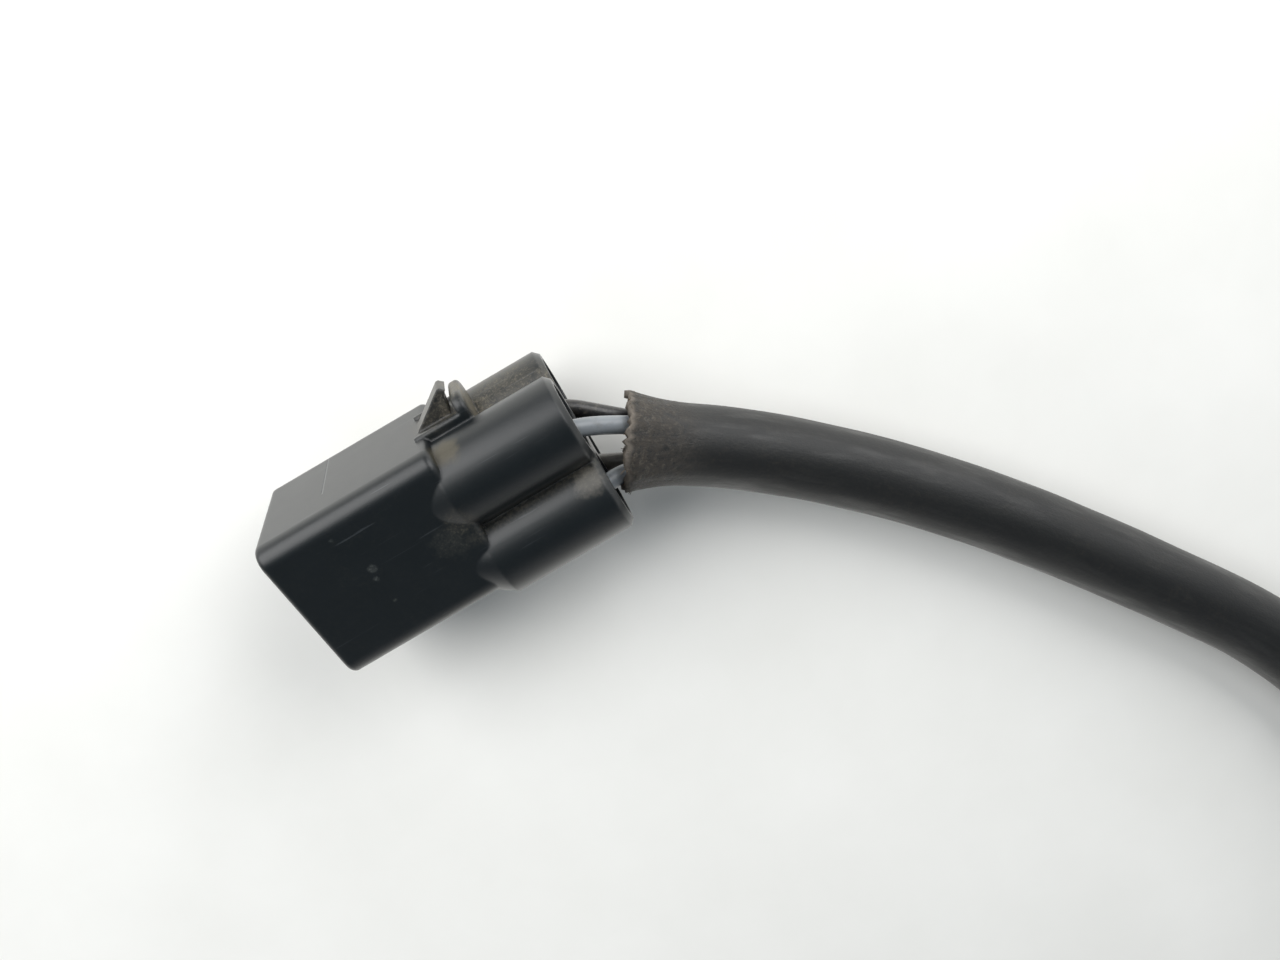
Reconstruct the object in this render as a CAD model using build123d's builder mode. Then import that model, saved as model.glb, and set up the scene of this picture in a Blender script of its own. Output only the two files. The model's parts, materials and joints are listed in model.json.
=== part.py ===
from build123d import *
from math import cos, radians, sin, tan
import os

# A heated four-wire exhaust oxygen sensor with its sleeved lead and its
# rectangular two-by-two plug, all in millimetres and +Z up.
#
# The origin is the centre of the gasket's sealing face, on the thread's axis,
# and +X runs along the thread to the sensor's tip. The sensor lies on one flat
# of its hexagon, and the lead and the plug lie on the same surface.

# ---------------------------------------------------------------- sensor sizes
THREAD_RADIUS = 9.0            # M18 x 1.5
THREAD_LENGTH = 10.5
THREAD_CHAMFER = 1.0
RELIEF_RADIUS = 8.0            # undercut that traps the gasket
GASKET_CLEARANCE = 0.6         # round the undercut, still under the thread
GASKET_WIDTH = 2.0
GASKET_THICKNESS = 1.6
GASKET_SHEET = 0.4
HEX_ACROSS_FLATS = 22.0
HEX_HEIGHT = 10.0
HEX_CHAMFER_RADIUS = 11.7      # where the corner cone meets the end faces
HEX_CHAMFER_ANGLE = 30.0
SKIRT_RADIUS = 8.6             # plain step behind the hexagon
SKIRT_LENGTH = 2.4
SPIGOT_LENGTH = 3.4            # what the rear cover is welded to
SPIGOT_CHAMFER = 0.6
CRIMP_LIP = 1.0
COVER_WALL = 0.5
COVER_RADIUS = 7.7             # outside of the rear cover's wide part

# ------------------------------------------------------------- sensing element
ELEMENT_RADIUS = 4.0           # zirconia thimble, straight part
ELEMENT_TIP_RADIUS = 2.9
ELEMENT_TIP_X = 21.5
ELEMENT_REAR_X = -19.0
ELEMENT_BORE = 2.2
ELEMENT_BORE_END_X = 19.6
ELEMENT_BORE_TAPER = 0.3
COLLAR_RADIUS = 6.1            # bulge that the shell's shoulder holds
COLLAR_REAR_X = -4.6
SHELL_BORE = 6.4
SHELL_NOSE_BORE = 4.6
SHOULDER_X = 0.6               # start of the 45 degree seat in the shell
ELEMENT_WASHER_THICKNESS = 0.5
ELEMENT_WASHER_RADIUS = 6.0
ELEMENT_WASHER_BORE = 4.8
TALC_LENGTH = 4.6
BUSHING_LENGTH = 3.6
CRIMP_RING_THICKNESS = 1.2
CRIMP_RING_CLEARANCE = 0.8     # round the thimble
CRIMP_RING_CHAMFER = 0.3
FIT_GAP = 0.1                  # between pieces that slip together

HEATER_RADIUS = 1.5
HEATER_TIP_X = 18.8
HEATER_REAR_X = -28.0
HEATER_CHAMFER = 0.3

# -------------------------------------------------------------------- tip shields
SHIELD_WALL = 0.5
SHIELD_KNEE = 1.0              # outer radius of the closed end's edge
SHIELD_RADIUS = 6.1
SHIELD_END_X = 27.0
SHIELD_FLANGE_RADIUS = 6.7
SHIELD_FLANGE_X = 8.6          # where the flanges sit in the shell's nose
INNER_SHIELD_RADIUS = 4.8
INNER_SHIELD_END_X = 24.6
GAS_HOLE_RADIUS = 1.0
GAS_HOLE_COUNT = 6
GAS_HOLE_X = 20.5
INNER_HOLE_X = 15.5
END_HOLE_RADIUS = 1.2

# ------------------------------------------------------------------ rear end
COVER_STEP_X = -34.0           # start of the cone to the narrow neck
COVER_CONE_LENGTH = 2.0
NECK_RADIUS = 6.5
COVER_END_X = -51.0
VENT_X = -40.5
VENT_RADIUS = 0.8
VENT_COUNT = 6
FILTER_WALL = 0.4
FILTER_LENGTH = 7.0
FILTER_END_GAP = 0.8
FILTER_COVER_FRONT_GAP = 0.5
FILTER_COVER_LENGTH = 12.5
FILTER_COVER_EDGE = 0.3
BEAD_RADIUS = 0.6
BEAD_PLACES = (0.3, 0.7)       # shares of the crimped end's length
BEAD_DEPTH = 0.35              # crimped grooves round the sleeves
SEPARATOR_RADIUS = 5.8
SEPARATOR_FRONT_X = -20.8
SEPARATOR_LENGTH = 12.4
SEPARATOR_CHAMBER_RADIUS = 3.9
SEPARATOR_CHAMBER_DEPTH = 8.4
SEPARATOR_FLANGE_LENGTH = 2.4
SEPARATOR_SLOT_WIDTH = 1.2
SEPARATOR_CHAMFER = 0.4
SPRING_LENGTH = 3.0
SPRING_CLEARANCE = 0.05
SPRING_THICKNESS = 0.35
SPRING_RIBS = 8
SPRING_RIB_WIDTH = 1.2
SPRING_RIB_SPAN = 2.4
SPRING_RIM = 0.4               # plain at each end of the ribs
GROMMET_LENGTH = 10.5
GROMMET_FRONT_X = -44.5
GROMMET_LIP_LENGTH = 4.0
GROMMET_LIP_RADIUS = 6.5
GROMMET_RECESS = 2.0           # the sleeving's end sits in it
GROMMET_NOSE_CHAMFER = 0.4
GROMMET_LIP_CHAMFER = 0.8

# ---------------------------------------------------------------- contacts
CONTACT_SPACING = 3.2          # square pattern of the four leads
STRIP_WIDTH = 1.2
STRIP_THICKNESS = 0.35
CRIMP_RADIUS = 1.15
CRIMP_LENGTH = 4.0
CRIMP_NECK = 0.8               # closed end of a crimp
CONDUCTOR_RADIUS = 0.6
CONDUCTOR_LENGTH = 3.2
SLEEVE_CONTACT_LENGTH = 9.5    # inside the thimble's bore
SLEEVE_CONTACT_PROUD = 0.5
SLEEVE_CONTACT_FLANGE = 0.6
CLAMP_LENGTH = 4.0             # outside the thimble's open end
CLAMP_PROUD = 1.6
CLAMP_THICKNESS = 0.35
FINGER_LENGTH = 3.0            # on the heater's pads
FINGER_CLEARANCE = 0.05

# -------------------------------------------------------------------- lead
WIRE_RADIUS = 1.0
SLEEVE_RADIUS = 4.6
SLEEVE_WALL = 0.8
SLEEVE_FLARE_RADIUS = 5.8      # the free end has opened out
SLEEVE_FLARE_LENGTH = 5.5
BUNDLE_OFFSET = 1.1            # wires about the sleeving's centre line
MOUTH_OFFSET = 2.4             # the same where they leave the sleeving

# -------------------------------------------------------------------- plug
PLUG_WIDTH = 17.0              # across the latch and the opposite face
PLUG_DEPTH = 17.1
PLUG_LENGTH = 33.0
SHROUD_LENGTH = 19.6
SHROUD_WALL = 1.5
SHROUD_CORNER = 2.0
CAVITY_CORNER = 1.0
RETAINER_CORNER = 0.8
MOUTH_EDGE = 0.6
SHROUD_REAR_EDGE = 0.8
CAVITY_DEPTH = 15.2
BARREL_RADIUS = 4.9
BARREL_PITCH = 8.8
BARREL_SHIFT = 1.5             # the barrels sit off centre, away from the latch
BARREL_EDGE = 0.6
SHOULDER_START = 15.7          # where the barrels' cones leave the shroud's faces
SHOULDER_END = 18.9
SHOULDER_RADIUS = 3.8          # of a cone's small end
SHOULDER_INSET = 0.05          # the small end lies just under the faces it leaves
SEAL_BORE = 3.7
SEAL_LENGTH = 4.0
SEAL_RECESS = 6.0
SEAL_WAIST = 0.35              # how far the seal clears its bore between its ribs
SEAL_SQUEEZE_GAP = 0.02
SEAL_RIBS = 3
SEAL_RIB_WIDTH = 0.8
SEAL_RIB_PITCH = 1.3
SEAL_RIB_START = 0.3
WIRE_BEND_DEPTH = 2.8          # the wires turn just inside the barrels
CHAMBER_WIDTH = 3.4            # the pin bodies' tunnels
CHAMBER_HEIGHT = 2.8
PIN_WIDTH = 2.3
PIN_THICKNESS = 0.8
PIN_TIP = 5.6                  # below the mouth
PIN_TIP_CHAMFER = 0.25
PIN_BODY_LENGTH = 7.2
PIN_CRIMP_LENGTH = 3.2
PIN_BODY_WIDTH = 2.7
PIN_BODY_HEIGHT = 2.4
PIN_BODY_OVERLAP = 0.5
RETAINER_THICKNESS = 2.2
RETAINER_GAP = 0.3             # round the retainer and round each pin
RETAINER_KEY_GAP = 0.4
KEY_WIDTH = 2.0                # keying ribs inside the shroud
KEY_HEIGHT = 1.0

LATCH_WIDTH = 2.8              # the wedge that the mating plug's loop snaps over
LATCH_HEIGHT = 2.9
LATCH_FRONT = 18.6
LATCH_APEX = 22.9
LATCH_REAR = 22.5
LATCH_HOOK = 0.45
LATCH_PAD_WIDTH = 7.0
LATCH_PAD_FRONT = 18.3
LATCH_PAD_END = 24.5
LATCH_RAIL_WIDTH = 0.9
LATCH_RAIL_HEIGHT = 0.3
LATCH_STOP_LENGTH = 1.2
LATCH_STOP_HEIGHT = 1.9
LATCH_STOP_ROUND = 1.8
LATCH_STOP_EDGE = 0.4
LATCH_DEPTH = 3.0              # how far the latch's pieces reach into the barrels

PLUG_ROLL = 17.0               # degrees, with the latch side raised
PLUG_MOUTH_X = -25.0
PLUG_Y = -149.4

# ------------------------------------------------------------- derived places
FLOOR = -HEX_ACROSS_FLATS / 2
GASKET_BORE = RELIEF_RADIUS + GASKET_CLEARANCE
GASKET_RADIUS = GASKET_BORE + GASKET_WIDTH
HEX_FRONT = -GASKET_THICKNESS
HEX_REAR = HEX_FRONT - HEX_HEIGHT
SKIRT_REAR = HEX_REAR - SKIRT_LENGTH
SHELL_REAR = SKIRT_REAR - SPIGOT_LENGTH
SPIGOT_RADIUS = COVER_RADIUS - COVER_WALL
TALC_REAR = COLLAR_REAR_X - TALC_LENGTH
BUSHING_REAR = TALC_REAR - BUSHING_LENGTH
CRIMP_RING_REAR = BUSHING_REAR - CRIMP_RING_THICKNESS
WASHER_RUN = ELEMENT_WASHER_THICKNESS * 2 ** 0.5
NECK_START = COVER_STEP_X - COVER_CONE_LENGTH
NECK_BORE = NECK_RADIUS - COVER_WALL
FILTER_RADIUS = NECK_RADIUS + FILTER_WALL
FILTER_COVER_RADIUS = FILTER_RADIUS + COVER_WALL
SEPARATOR_REAR = SEPARATOR_FRONT_X - SEPARATOR_LENGTH
SEPARATOR_SLOT_LENGTH = STRIP_WIDTH + 0.8
GROMMET_REAR = GROMMET_FRONT_X - GROMMET_LENGTH
CRIMP_FRONT = SEPARATOR_REAR - 0.6
CONTACT_X = HEATER_REAR_X + 2.0
SLEEVE_Z = FLOOR + SLEEVE_RADIUS
SLEEVE_START_X = GROMMET_REAR + GROMMET_RECESS
PIN_BODY_FRONT = CAVITY_DEPTH + 0.4
SEAL_FRONT = PLUG_LENGTH - SEAL_RECESS - SEAL_LENGTH

# Each wire's colour, and which corner of the square it has: to the left or the
# right of the lead as it leaves the sensor, and above or below its centre.
WIRES = {
    "black": (-1, -1),
    "white_1": (-1, 1),
    "grey": (1, -1),
    "white_2": (1, 1),
}

# The sleeving's centre line, from the sensor's grommet to the free end.
LEAD_ROUTE = [
    (SLEEVE_START_X, 0.0, 0.0),
    (-69.5, 0.0, 0.0),
    (-89.6, -3.1, -4.9),
    (-109.0, -13.8, SLEEVE_Z),
    (-122.5, -32.4, SLEEVE_Z),
    (-126.7, -56.0, SLEEVE_Z),
    (-120.9, -79.3, SLEEVE_Z),
    (-107.1, -99.0, SLEEVE_Z),
    (-93.7, -116.4, SLEEVE_Z),
    (-81.3, -129.3, SLEEVE_Z),
    (-69.6, -139.5, -4.2),
    (-61.5, -144.8, -1.4),
]

os.makedirs("parts", exist_ok=True)


def write(builder, label):
    builder.part.label = label
    export_step(builder.part, f"parts/{label}.step")


def bend_radii(points):
    """The largest round bend that each corner's two runs allow."""
    radii = []
    for before, corner, after in zip(points, points[1:], points[2:]):
        coming = corner - before
        going = after - corner
        shorter = min(coming.length, going.length)
        radii.append(0.45 * shorter / tan(radians(coming.get_angle(going)) / 2))
    return radii


def beside(points, side, up):
    """The same route moved sideways and up, for one wire of the bundle."""
    moved = []
    for index, point in enumerate(points):
        before = points[max(index - 1, 0)]
        after = points[min(index + 1, len(points) - 1)]
        run = Vector(after.X - before.X, after.Y - before.Y, 0).normalized()
        moved.append(point + Vector(-run.Y, run.X, 0) * side + Vector(0, 0, up))
    return moved


def seat_x(radius):
    """Where the shell's 45 degree seat for the element has that radius."""
    return SHOULDER_X + SHELL_BORE - radius


# ------------------------------------------------------------------ metal shell
with BuildPart() as metal_shell:
    with BuildSketch(Plane.XY):
        with BuildLine():
            Polyline(
                (THREAD_LENGTH, SHIELD_FLANGE_RADIUS + FIT_GAP),
                (THREAD_LENGTH, THREAD_RADIUS - THREAD_CHAMFER),
                (THREAD_LENGTH - THREAD_CHAMFER, THREAD_RADIUS),
                (0, THREAD_RADIUS),
                (0, RELIEF_RADIUS),
                (HEX_FRONT, RELIEF_RADIUS),
                (HEX_FRONT, HEX_ACROSS_FLATS),
                (HEX_REAR, HEX_ACROSS_FLATS),
                (HEX_REAR, SKIRT_RADIUS),
                (SKIRT_REAR, SKIRT_RADIUS),
                (SKIRT_REAR, SPIGOT_RADIUS),
                (SHELL_REAR + SPIGOT_CHAMFER, SPIGOT_RADIUS),
                (SHELL_REAR, SPIGOT_RADIUS - SPIGOT_CHAMFER),
                (SHELL_REAR, SHELL_BORE - CRIMP_LIP),
                (CRIMP_RING_REAR, SHELL_BORE - CRIMP_LIP),
                (CRIMP_RING_REAR, SHELL_BORE),
                (SHOULDER_X, SHELL_BORE),
                (seat_x(SHELL_NOSE_BORE), SHELL_NOSE_BORE),
                (SHIELD_FLANGE_X, SHELL_NOSE_BORE),
                (SHIELD_FLANGE_X, SHIELD_FLANGE_RADIUS + FIT_GAP),
                close=True,
            )
        make_face()
    revolve(axis=Axis.X)
    # The hexagon is cut from the round blank, one flat down.
    with BuildSketch(Plane.YZ.offset(HEX_REAR)):
        Circle(2 * HEX_ACROSS_FLATS)
        RegularPolygon(HEX_ACROSS_FLATS / 2, 6, major_radius=False, mode=Mode.SUBTRACT)
    extrude(amount=HEX_HEIGHT, mode=Mode.SUBTRACT)
    # A cone at each end takes off the hexagon's corners.
    cone_reach = HEX_ACROSS_FLATS - HEX_CHAMFER_RADIUS
    cone_rise = cone_reach * tan(radians(HEX_CHAMFER_ANGLE))
    with BuildSketch(Plane.XY):
        for end, inward in ((HEX_FRONT, -1), (HEX_REAR, 1)):
            with BuildLine():
                Polyline(
                    (end, HEX_CHAMFER_RADIUS),
                    (end, HEX_CHAMFER_RADIUS + cone_reach),
                    (end + inward * cone_rise, HEX_CHAMFER_RADIUS + cone_reach),
                    close=True,
                )
            make_face()
    revolve(axis=Axis.X, mode=Mode.SUBTRACT)
write(metal_shell, "metal_shell")

# ------------------------------------------------------------------- seat gasket
with BuildPart() as seat_gasket:
    # A folded steel ring: three layers of sheet, in an S round the neck.
    layer = (GASKET_THICKNESS - GASKET_SHEET) / 2
    front = -GASKET_SHEET / 2
    middle = front - layer
    rear = middle - layer
    fold = layer / 2
    inner = GASKET_BORE + GASKET_SHEET / 2 + fold
    outer = GASKET_RADIUS - GASKET_SHEET / 2 - fold
    with BuildSketch(Plane.XY):
        with BuildLine() as sheet:
            Line((front, outer + fold), (front, inner))
            ThreePointArc((front, inner), (front - fold, inner - fold), (middle, inner))
            Line((middle, inner), (middle, outer))
            ThreePointArc((middle, outer), (middle - fold, outer + fold), (rear, outer))
            Line((rear, outer), (rear, inner - fold))
        trace(sheet.edges(), line_width=GASKET_SHEET)
    revolve(axis=Axis.X)
write(seat_gasket, "seat_gasket")


# --------------------------------------------------------------------- tip shields
def shield(radius, end_x, flange_front):
    """A drawn cup with a flange at its open end and a hole in its closed end."""
    knee = end_x - SHIELD_KNEE
    with BuildPart() as cup:
        with BuildSketch(Plane.XY):
            with BuildLine():
                Polyline(
                    (knee, radius),
                    (flange_front, radius),
                    (flange_front, SHIELD_FLANGE_RADIUS),
                    (flange_front - SHIELD_WALL, SHIELD_FLANGE_RADIUS),
                    (flange_front - SHIELD_WALL, radius - SHIELD_WALL),
                    (knee, radius - SHIELD_WALL),
                )
                RadiusArc((knee, radius), (end_x, radius - SHIELD_KNEE), SHIELD_KNEE)
                Polyline(
                    (end_x, radius - SHIELD_KNEE),
                    (end_x, END_HOLE_RADIUS),
                    (end_x - SHIELD_WALL, END_HOLE_RADIUS),
                    (end_x - SHIELD_WALL, radius - SHIELD_KNEE),
                )
                RadiusArc((knee, radius - SHIELD_WALL),
                          (end_x - SHIELD_WALL, radius - SHIELD_KNEE),
                          SHIELD_KNEE - SHIELD_WALL)
            make_face()
        revolve(axis=Axis.X)
    return cup.part


def round_holes(x, radius, count, start_angle, reach):
    """Cutters for round holes that point at the axis."""
    with BuildPart() as cutters:
        with Locations(Plane.YZ.offset(x)):
            with PolarLocations(0, count, start_angle=start_angle):
                Cylinder(radius, reach, rotation=(0, 90, 0),
                         align=(Align.CENTER, Align.CENTER, Align.MIN))
    return cutters.part


inner_flange_front = SHIELD_FLANGE_X + SHIELD_WALL
outer_flange_front = inner_flange_front + SHIELD_WALL
with BuildPart() as inner_tip_shield:
    add(shield(INNER_SHIELD_RADIUS, INNER_SHIELD_END_X, inner_flange_front))
    add(round_holes(INNER_HOLE_X, GAS_HOLE_RADIUS, GAS_HOLE_COUNT, 30, SHIELD_RADIUS * 2),
        mode=Mode.SUBTRACT)
write(inner_tip_shield, "inner_tip_shield")

with BuildPart() as outer_tip_shield:
    add(shield(SHIELD_RADIUS, SHIELD_END_X, outer_flange_front))
    add(round_holes(GAS_HOLE_X, GAS_HOLE_RADIUS, GAS_HOLE_COUNT, 0, SHIELD_RADIUS * 2),
        mode=Mode.SUBTRACT)
write(outer_tip_shield, "outer_tip_shield")

# The ring that is swaged over both flanges.
with BuildPart() as shield_retainer:
    with BuildSketch(Plane.XY):
        with BuildLine():
            Polyline(
                (outer_flange_front, SHIELD_RADIUS + FIT_GAP),
                (outer_flange_front, SHIELD_FLANGE_RADIUS + FIT_GAP),
                (THREAD_LENGTH, SHIELD_FLANGE_RADIUS + FIT_GAP),
                (THREAD_LENGTH, SHIELD_RADIUS + FIT_GAP),
                close=True,
            )
        make_face()
    revolve(axis=Axis.X)
write(shield_retainer, "shield_retainer")

# ------------------------------------------------------------------- sensing element
with BuildPart() as sensing_thimble:
    with BuildSketch(Plane.XY):
        dome_x = ELEMENT_TIP_X - ELEMENT_TIP_RADIUS
        bore_tip_radius = ELEMENT_BORE - ELEMENT_BORE_TAPER
        bore_dome_x = ELEMENT_BORE_END_X - bore_tip_radius
        with BuildLine():
            Polyline(
                (ELEMENT_REAR_X, ELEMENT_BORE),
                (ELEMENT_REAR_X, ELEMENT_RADIUS),
                (COLLAR_REAR_X, ELEMENT_RADIUS),
                (COLLAR_REAR_X, COLLAR_RADIUS),
                (seat_x(COLLAR_RADIUS) - WASHER_RUN, COLLAR_RADIUS),
                (seat_x(ELEMENT_RADIUS) - WASHER_RUN, ELEMENT_RADIUS),
                (dome_x, ELEMENT_TIP_RADIUS),
            )
            RadiusArc((dome_x, ELEMENT_TIP_RADIUS), (ELEMENT_TIP_X, 0), ELEMENT_TIP_RADIUS)
            Line((ELEMENT_TIP_X, 0), (ELEMENT_BORE_END_X, 0))
            RadiusArc((ELEMENT_BORE_END_X, 0), (bore_dome_x, bore_tip_radius),
                      -bore_tip_radius)
            Line((bore_dome_x, bore_tip_radius), (ELEMENT_REAR_X, ELEMENT_BORE))
        make_face()
    revolve(axis=Axis.X)
write(sensing_thimble, "sensing_thimble")


def ring(outer, bore, front, rear):
    """A plain ring on the sensor's axis."""
    with BuildPart() as made:
        with BuildSketch(Plane.YZ.offset(rear)):
            Circle(outer)
            Circle(bore, mode=Mode.SUBTRACT)
        extrude(amount=front - rear)
    return made.part


with BuildPart() as element_washer:
    with BuildSketch(Plane.XY):
        with BuildLine():
            Polyline(
                (seat_x(ELEMENT_WASHER_RADIUS), ELEMENT_WASHER_RADIUS),
                (seat_x(ELEMENT_WASHER_BORE), ELEMENT_WASHER_BORE),
                (seat_x(ELEMENT_WASHER_BORE) - WASHER_RUN, ELEMENT_WASHER_BORE),
                (seat_x(ELEMENT_WASHER_RADIUS) - WASHER_RUN, ELEMENT_WASHER_RADIUS),
                close=True,
            )
        make_face()
    revolve(axis=Axis.X)
write(element_washer, "element_washer")

with BuildPart() as talc_packing:
    add(ring(SHELL_BORE, ELEMENT_RADIUS, COLLAR_REAR_X, TALC_REAR))
write(talc_packing, "talc_packing")

with BuildPart() as ceramic_bushing:
    add(ring(SHELL_BORE - FIT_GAP, ELEMENT_RADIUS + FIT_GAP, TALC_REAR, BUSHING_REAR))
write(ceramic_bushing, "ceramic_bushing")

with BuildPart() as crimp_ring:
    add(ring(SHELL_BORE - FIT_GAP, ELEMENT_RADIUS + CRIMP_RING_CLEARANCE, BUSHING_REAR,
             CRIMP_RING_REAR))
    chamfer(crimp_ring.edges().group_by(Axis.X)[0], CRIMP_RING_CHAMFER)
write(crimp_ring, "crimp_ring")

with BuildPart() as heater_rod:
    with BuildSketch(Plane.YZ.offset(HEATER_REAR_X)):
        Circle(HEATER_RADIUS)
    extrude(amount=HEATER_TIP_X - HEATER_REAR_X)
    chamfer(heater_rod.edges().filter_by(GeomType.CIRCLE), HEATER_CHAMFER)
write(heater_rod, "heater_rod")


# ------------------------------------------------------------------------ contacts
def lead_place(colour):
    """Where a wire's straight end stands about the sensor's axis, as Y and Z."""
    side, up = WIRES[colour]
    return -side * CONTACT_SPACING / 2, up * CONTACT_SPACING / 2


def lead_plane(colour, x):
    """A plane across the sensor, with its x axis pointing out to a lead."""
    y, z = lead_place(colour)
    return Plane(origin=(x, 0, 0), x_dir=(0, y, z), z_dir=(1, 0, 0))


LEAD_RADIUS = CONTACT_SPACING / 2 * 2 ** 0.5


def strip_and_crimp(colour, arm_x, arm_inner):
    """The arm, the long strip and the wire crimp that end every contact."""
    with BuildPart() as made:
        with BuildSketch(lead_plane(colour, arm_x)):
            with Locations(((arm_inner + LEAD_RADIUS) / 2, 0)):
                Rectangle(abs(arm_inner - LEAD_RADIUS) + STRIP_THICKNESS, STRIP_WIDTH)
        extrude(amount=STRIP_THICKNESS)
        with BuildSketch(lead_plane(colour, CRIMP_FRONT - CRIMP_NECK / 2)):
            with Locations((LEAD_RADIUS, 0)):
                Rectangle(STRIP_THICKNESS, STRIP_WIDTH)
        extrude(amount=arm_x + STRIP_THICKNESS - CRIMP_FRONT + CRIMP_NECK / 2)
        with BuildSketch(lead_plane(colour, CRIMP_FRONT - CRIMP_LENGTH)):
            with Locations((LEAD_RADIUS, 0)):
                Circle(CRIMP_RADIUS)
        extrude(amount=CRIMP_LENGTH)
        with BuildSketch(lead_plane(colour, CRIMP_FRONT - CRIMP_LENGTH)):
            with Locations((LEAD_RADIUS, 0)):
                Circle(CONDUCTOR_RADIUS)
        extrude(amount=CRIMP_LENGTH - CRIMP_NECK, mode=Mode.SUBTRACT)
    return made.part


with BuildPart() as inner_contact:
    # A sprung sleeve between the thimble's bore and the heater.
    contact_rear = ELEMENT_REAR_X - SLEEVE_CONTACT_PROUD
    add(ring(ELEMENT_BORE - FIT_GAP, HEATER_RADIUS + FIT_GAP,
             contact_rear + SLEEVE_CONTACT_LENGTH, contact_rear))
    with BuildSketch(Plane.YZ.offset(contact_rear)):
        Circle(ELEMENT_BORE + SLEEVE_CONTACT_FLANGE)
        Circle(HEATER_RADIUS + FIT_GAP, mode=Mode.SUBTRACT)
    extrude(amount=STRIP_THICKNESS)
    add(strip_and_crimp("black", contact_rear, ELEMENT_BORE))
write(inner_contact, "inner_contact")

with BuildPart() as outer_contact:
    # A clamp round the outside of the thimble's open end.
    clamp_bore = ELEMENT_RADIUS + FIT_GAP / 2
    clamp_rear = ELEMENT_REAR_X - CLAMP_PROUD
    add(ring(clamp_bore + CLAMP_THICKNESS, clamp_bore, clamp_rear + CLAMP_LENGTH, clamp_rear))
    add(strip_and_crimp("grey", clamp_rear, clamp_bore + CLAMP_THICKNESS / 2))
write(outer_contact, "outer_contact")

for number, colour in ((1, "white_1"), (2, "white_2")):
    with BuildPart() as heater_contact:
        # A finger that presses on one of the heater's pads.
        finger = HEATER_RADIUS + STRIP_THICKNESS / 2 + FINGER_CLEARANCE
        add(strip_and_crimp(colour, CONTACT_X, finger))
        with BuildSketch(lead_plane(colour, CONTACT_X)):
            with Locations((finger, 0)):
                Rectangle(STRIP_THICKNESS, STRIP_WIDTH)
        extrude(amount=FINGER_LENGTH)
    write(heater_contact, f"heater_contact_{number}")

# ---------------------------------------------------------------- ceramic separator
with BuildPart() as ceramic_separator:
    add(ring(SEPARATOR_RADIUS, SEPARATOR_CHAMBER_RADIUS, SEPARATOR_FRONT_X,
             SEPARATOR_FRONT_X - SEPARATOR_CHAMBER_DEPTH))
    with BuildSketch(Plane.YZ.offset(SEPARATOR_REAR)):
        Circle(SEPARATOR_RADIUS)
    extrude(amount=SEPARATOR_LENGTH - SEPARATOR_CHAMBER_DEPTH)
    add(ring(SPIGOT_RADIUS - FIT_GAP, SEPARATOR_RADIUS, SEPARATOR_FRONT_X,
             SEPARATOR_FRONT_X - SEPARATOR_FLANGE_LENGTH))
    for colour in WIRES:
        with BuildSketch(lead_plane(colour, SEPARATOR_REAR)):
            with Locations((LEAD_RADIUS, 0)):
                SlotOverall(SEPARATOR_SLOT_LENGTH, SEPARATOR_SLOT_WIDTH, rotation=90)
        extrude(amount=SEPARATOR_LENGTH, mode=Mode.SUBTRACT)
    rear_rim = ceramic_separator.edges().filter_by(GeomType.CIRCLE).group_by(Axis.X)[0]
    chamfer(rear_rim, SEPARATOR_CHAMFER)
write(ceramic_separator, "ceramic_separator")

with BuildPart() as separator_spring:
    # A corrugated ring that holds the separator central in the cover.
    spring_rear = SEPARATOR_FRONT_X - SEPARATOR_FLANGE_LENGTH - SPRING_LENGTH
    spring_bore = SEPARATOR_RADIUS + SPRING_CLEARANCE
    add(ring(spring_bore + SPRING_THICKNESS, spring_bore, spring_rear + SPRING_LENGTH,
             spring_rear))
    with BuildSketch(Plane.YZ.offset(spring_rear + SPRING_RIM)):
        with PolarLocations(spring_bore + SPRING_THICKNESS, SPRING_RIBS):
            SlotOverall(SPRING_RIB_SPAN, SPRING_RIB_WIDTH, rotation=90)
        Circle(spring_bore, mode=Mode.SUBTRACT)
    extrude(amount=SPRING_LENGTH - 2 * SPRING_RIM)
write(separator_spring, "separator_spring")

# -------------------------------------------------------------------- rear cover
with BuildPart() as rear_cover:
    with BuildSketch(Plane.XY):
        with BuildLine():
            outline = Polyline(
                (SKIRT_REAR, COVER_RADIUS - COVER_WALL / 2),
                (COVER_STEP_X, COVER_RADIUS - COVER_WALL / 2),
                (NECK_START, NECK_RADIUS - COVER_WALL / 2),
                (COVER_END_X, NECK_RADIUS - COVER_WALL / 2),
            )
        trace(outline.edges(), line_width=COVER_WALL)
        with Locations((SKIRT_REAR + COVER_WALL, COVER_RADIUS)):
            Rectangle(2 * COVER_WALL, 2 * COVER_WALL, mode=Mode.SUBTRACT)
        with Locations((COVER_END_X - COVER_WALL, NECK_RADIUS)):
            Rectangle(2 * COVER_WALL, 2 * COVER_WALL, mode=Mode.SUBTRACT)
    revolve(axis=Axis.X)
    add(round_holes(VENT_X, VENT_RADIUS, VENT_COUNT, 0, COVER_RADIUS * 2),
        mode=Mode.SUBTRACT)
write(rear_cover, "rear_cover")

with BuildPart() as vent_filter:
    add(ring(FILTER_RADIUS, NECK_RADIUS, VENT_X + FILTER_LENGTH / 2, VENT_X - FILTER_LENGTH / 2))
write(vent_filter, "vent_filter")

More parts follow.
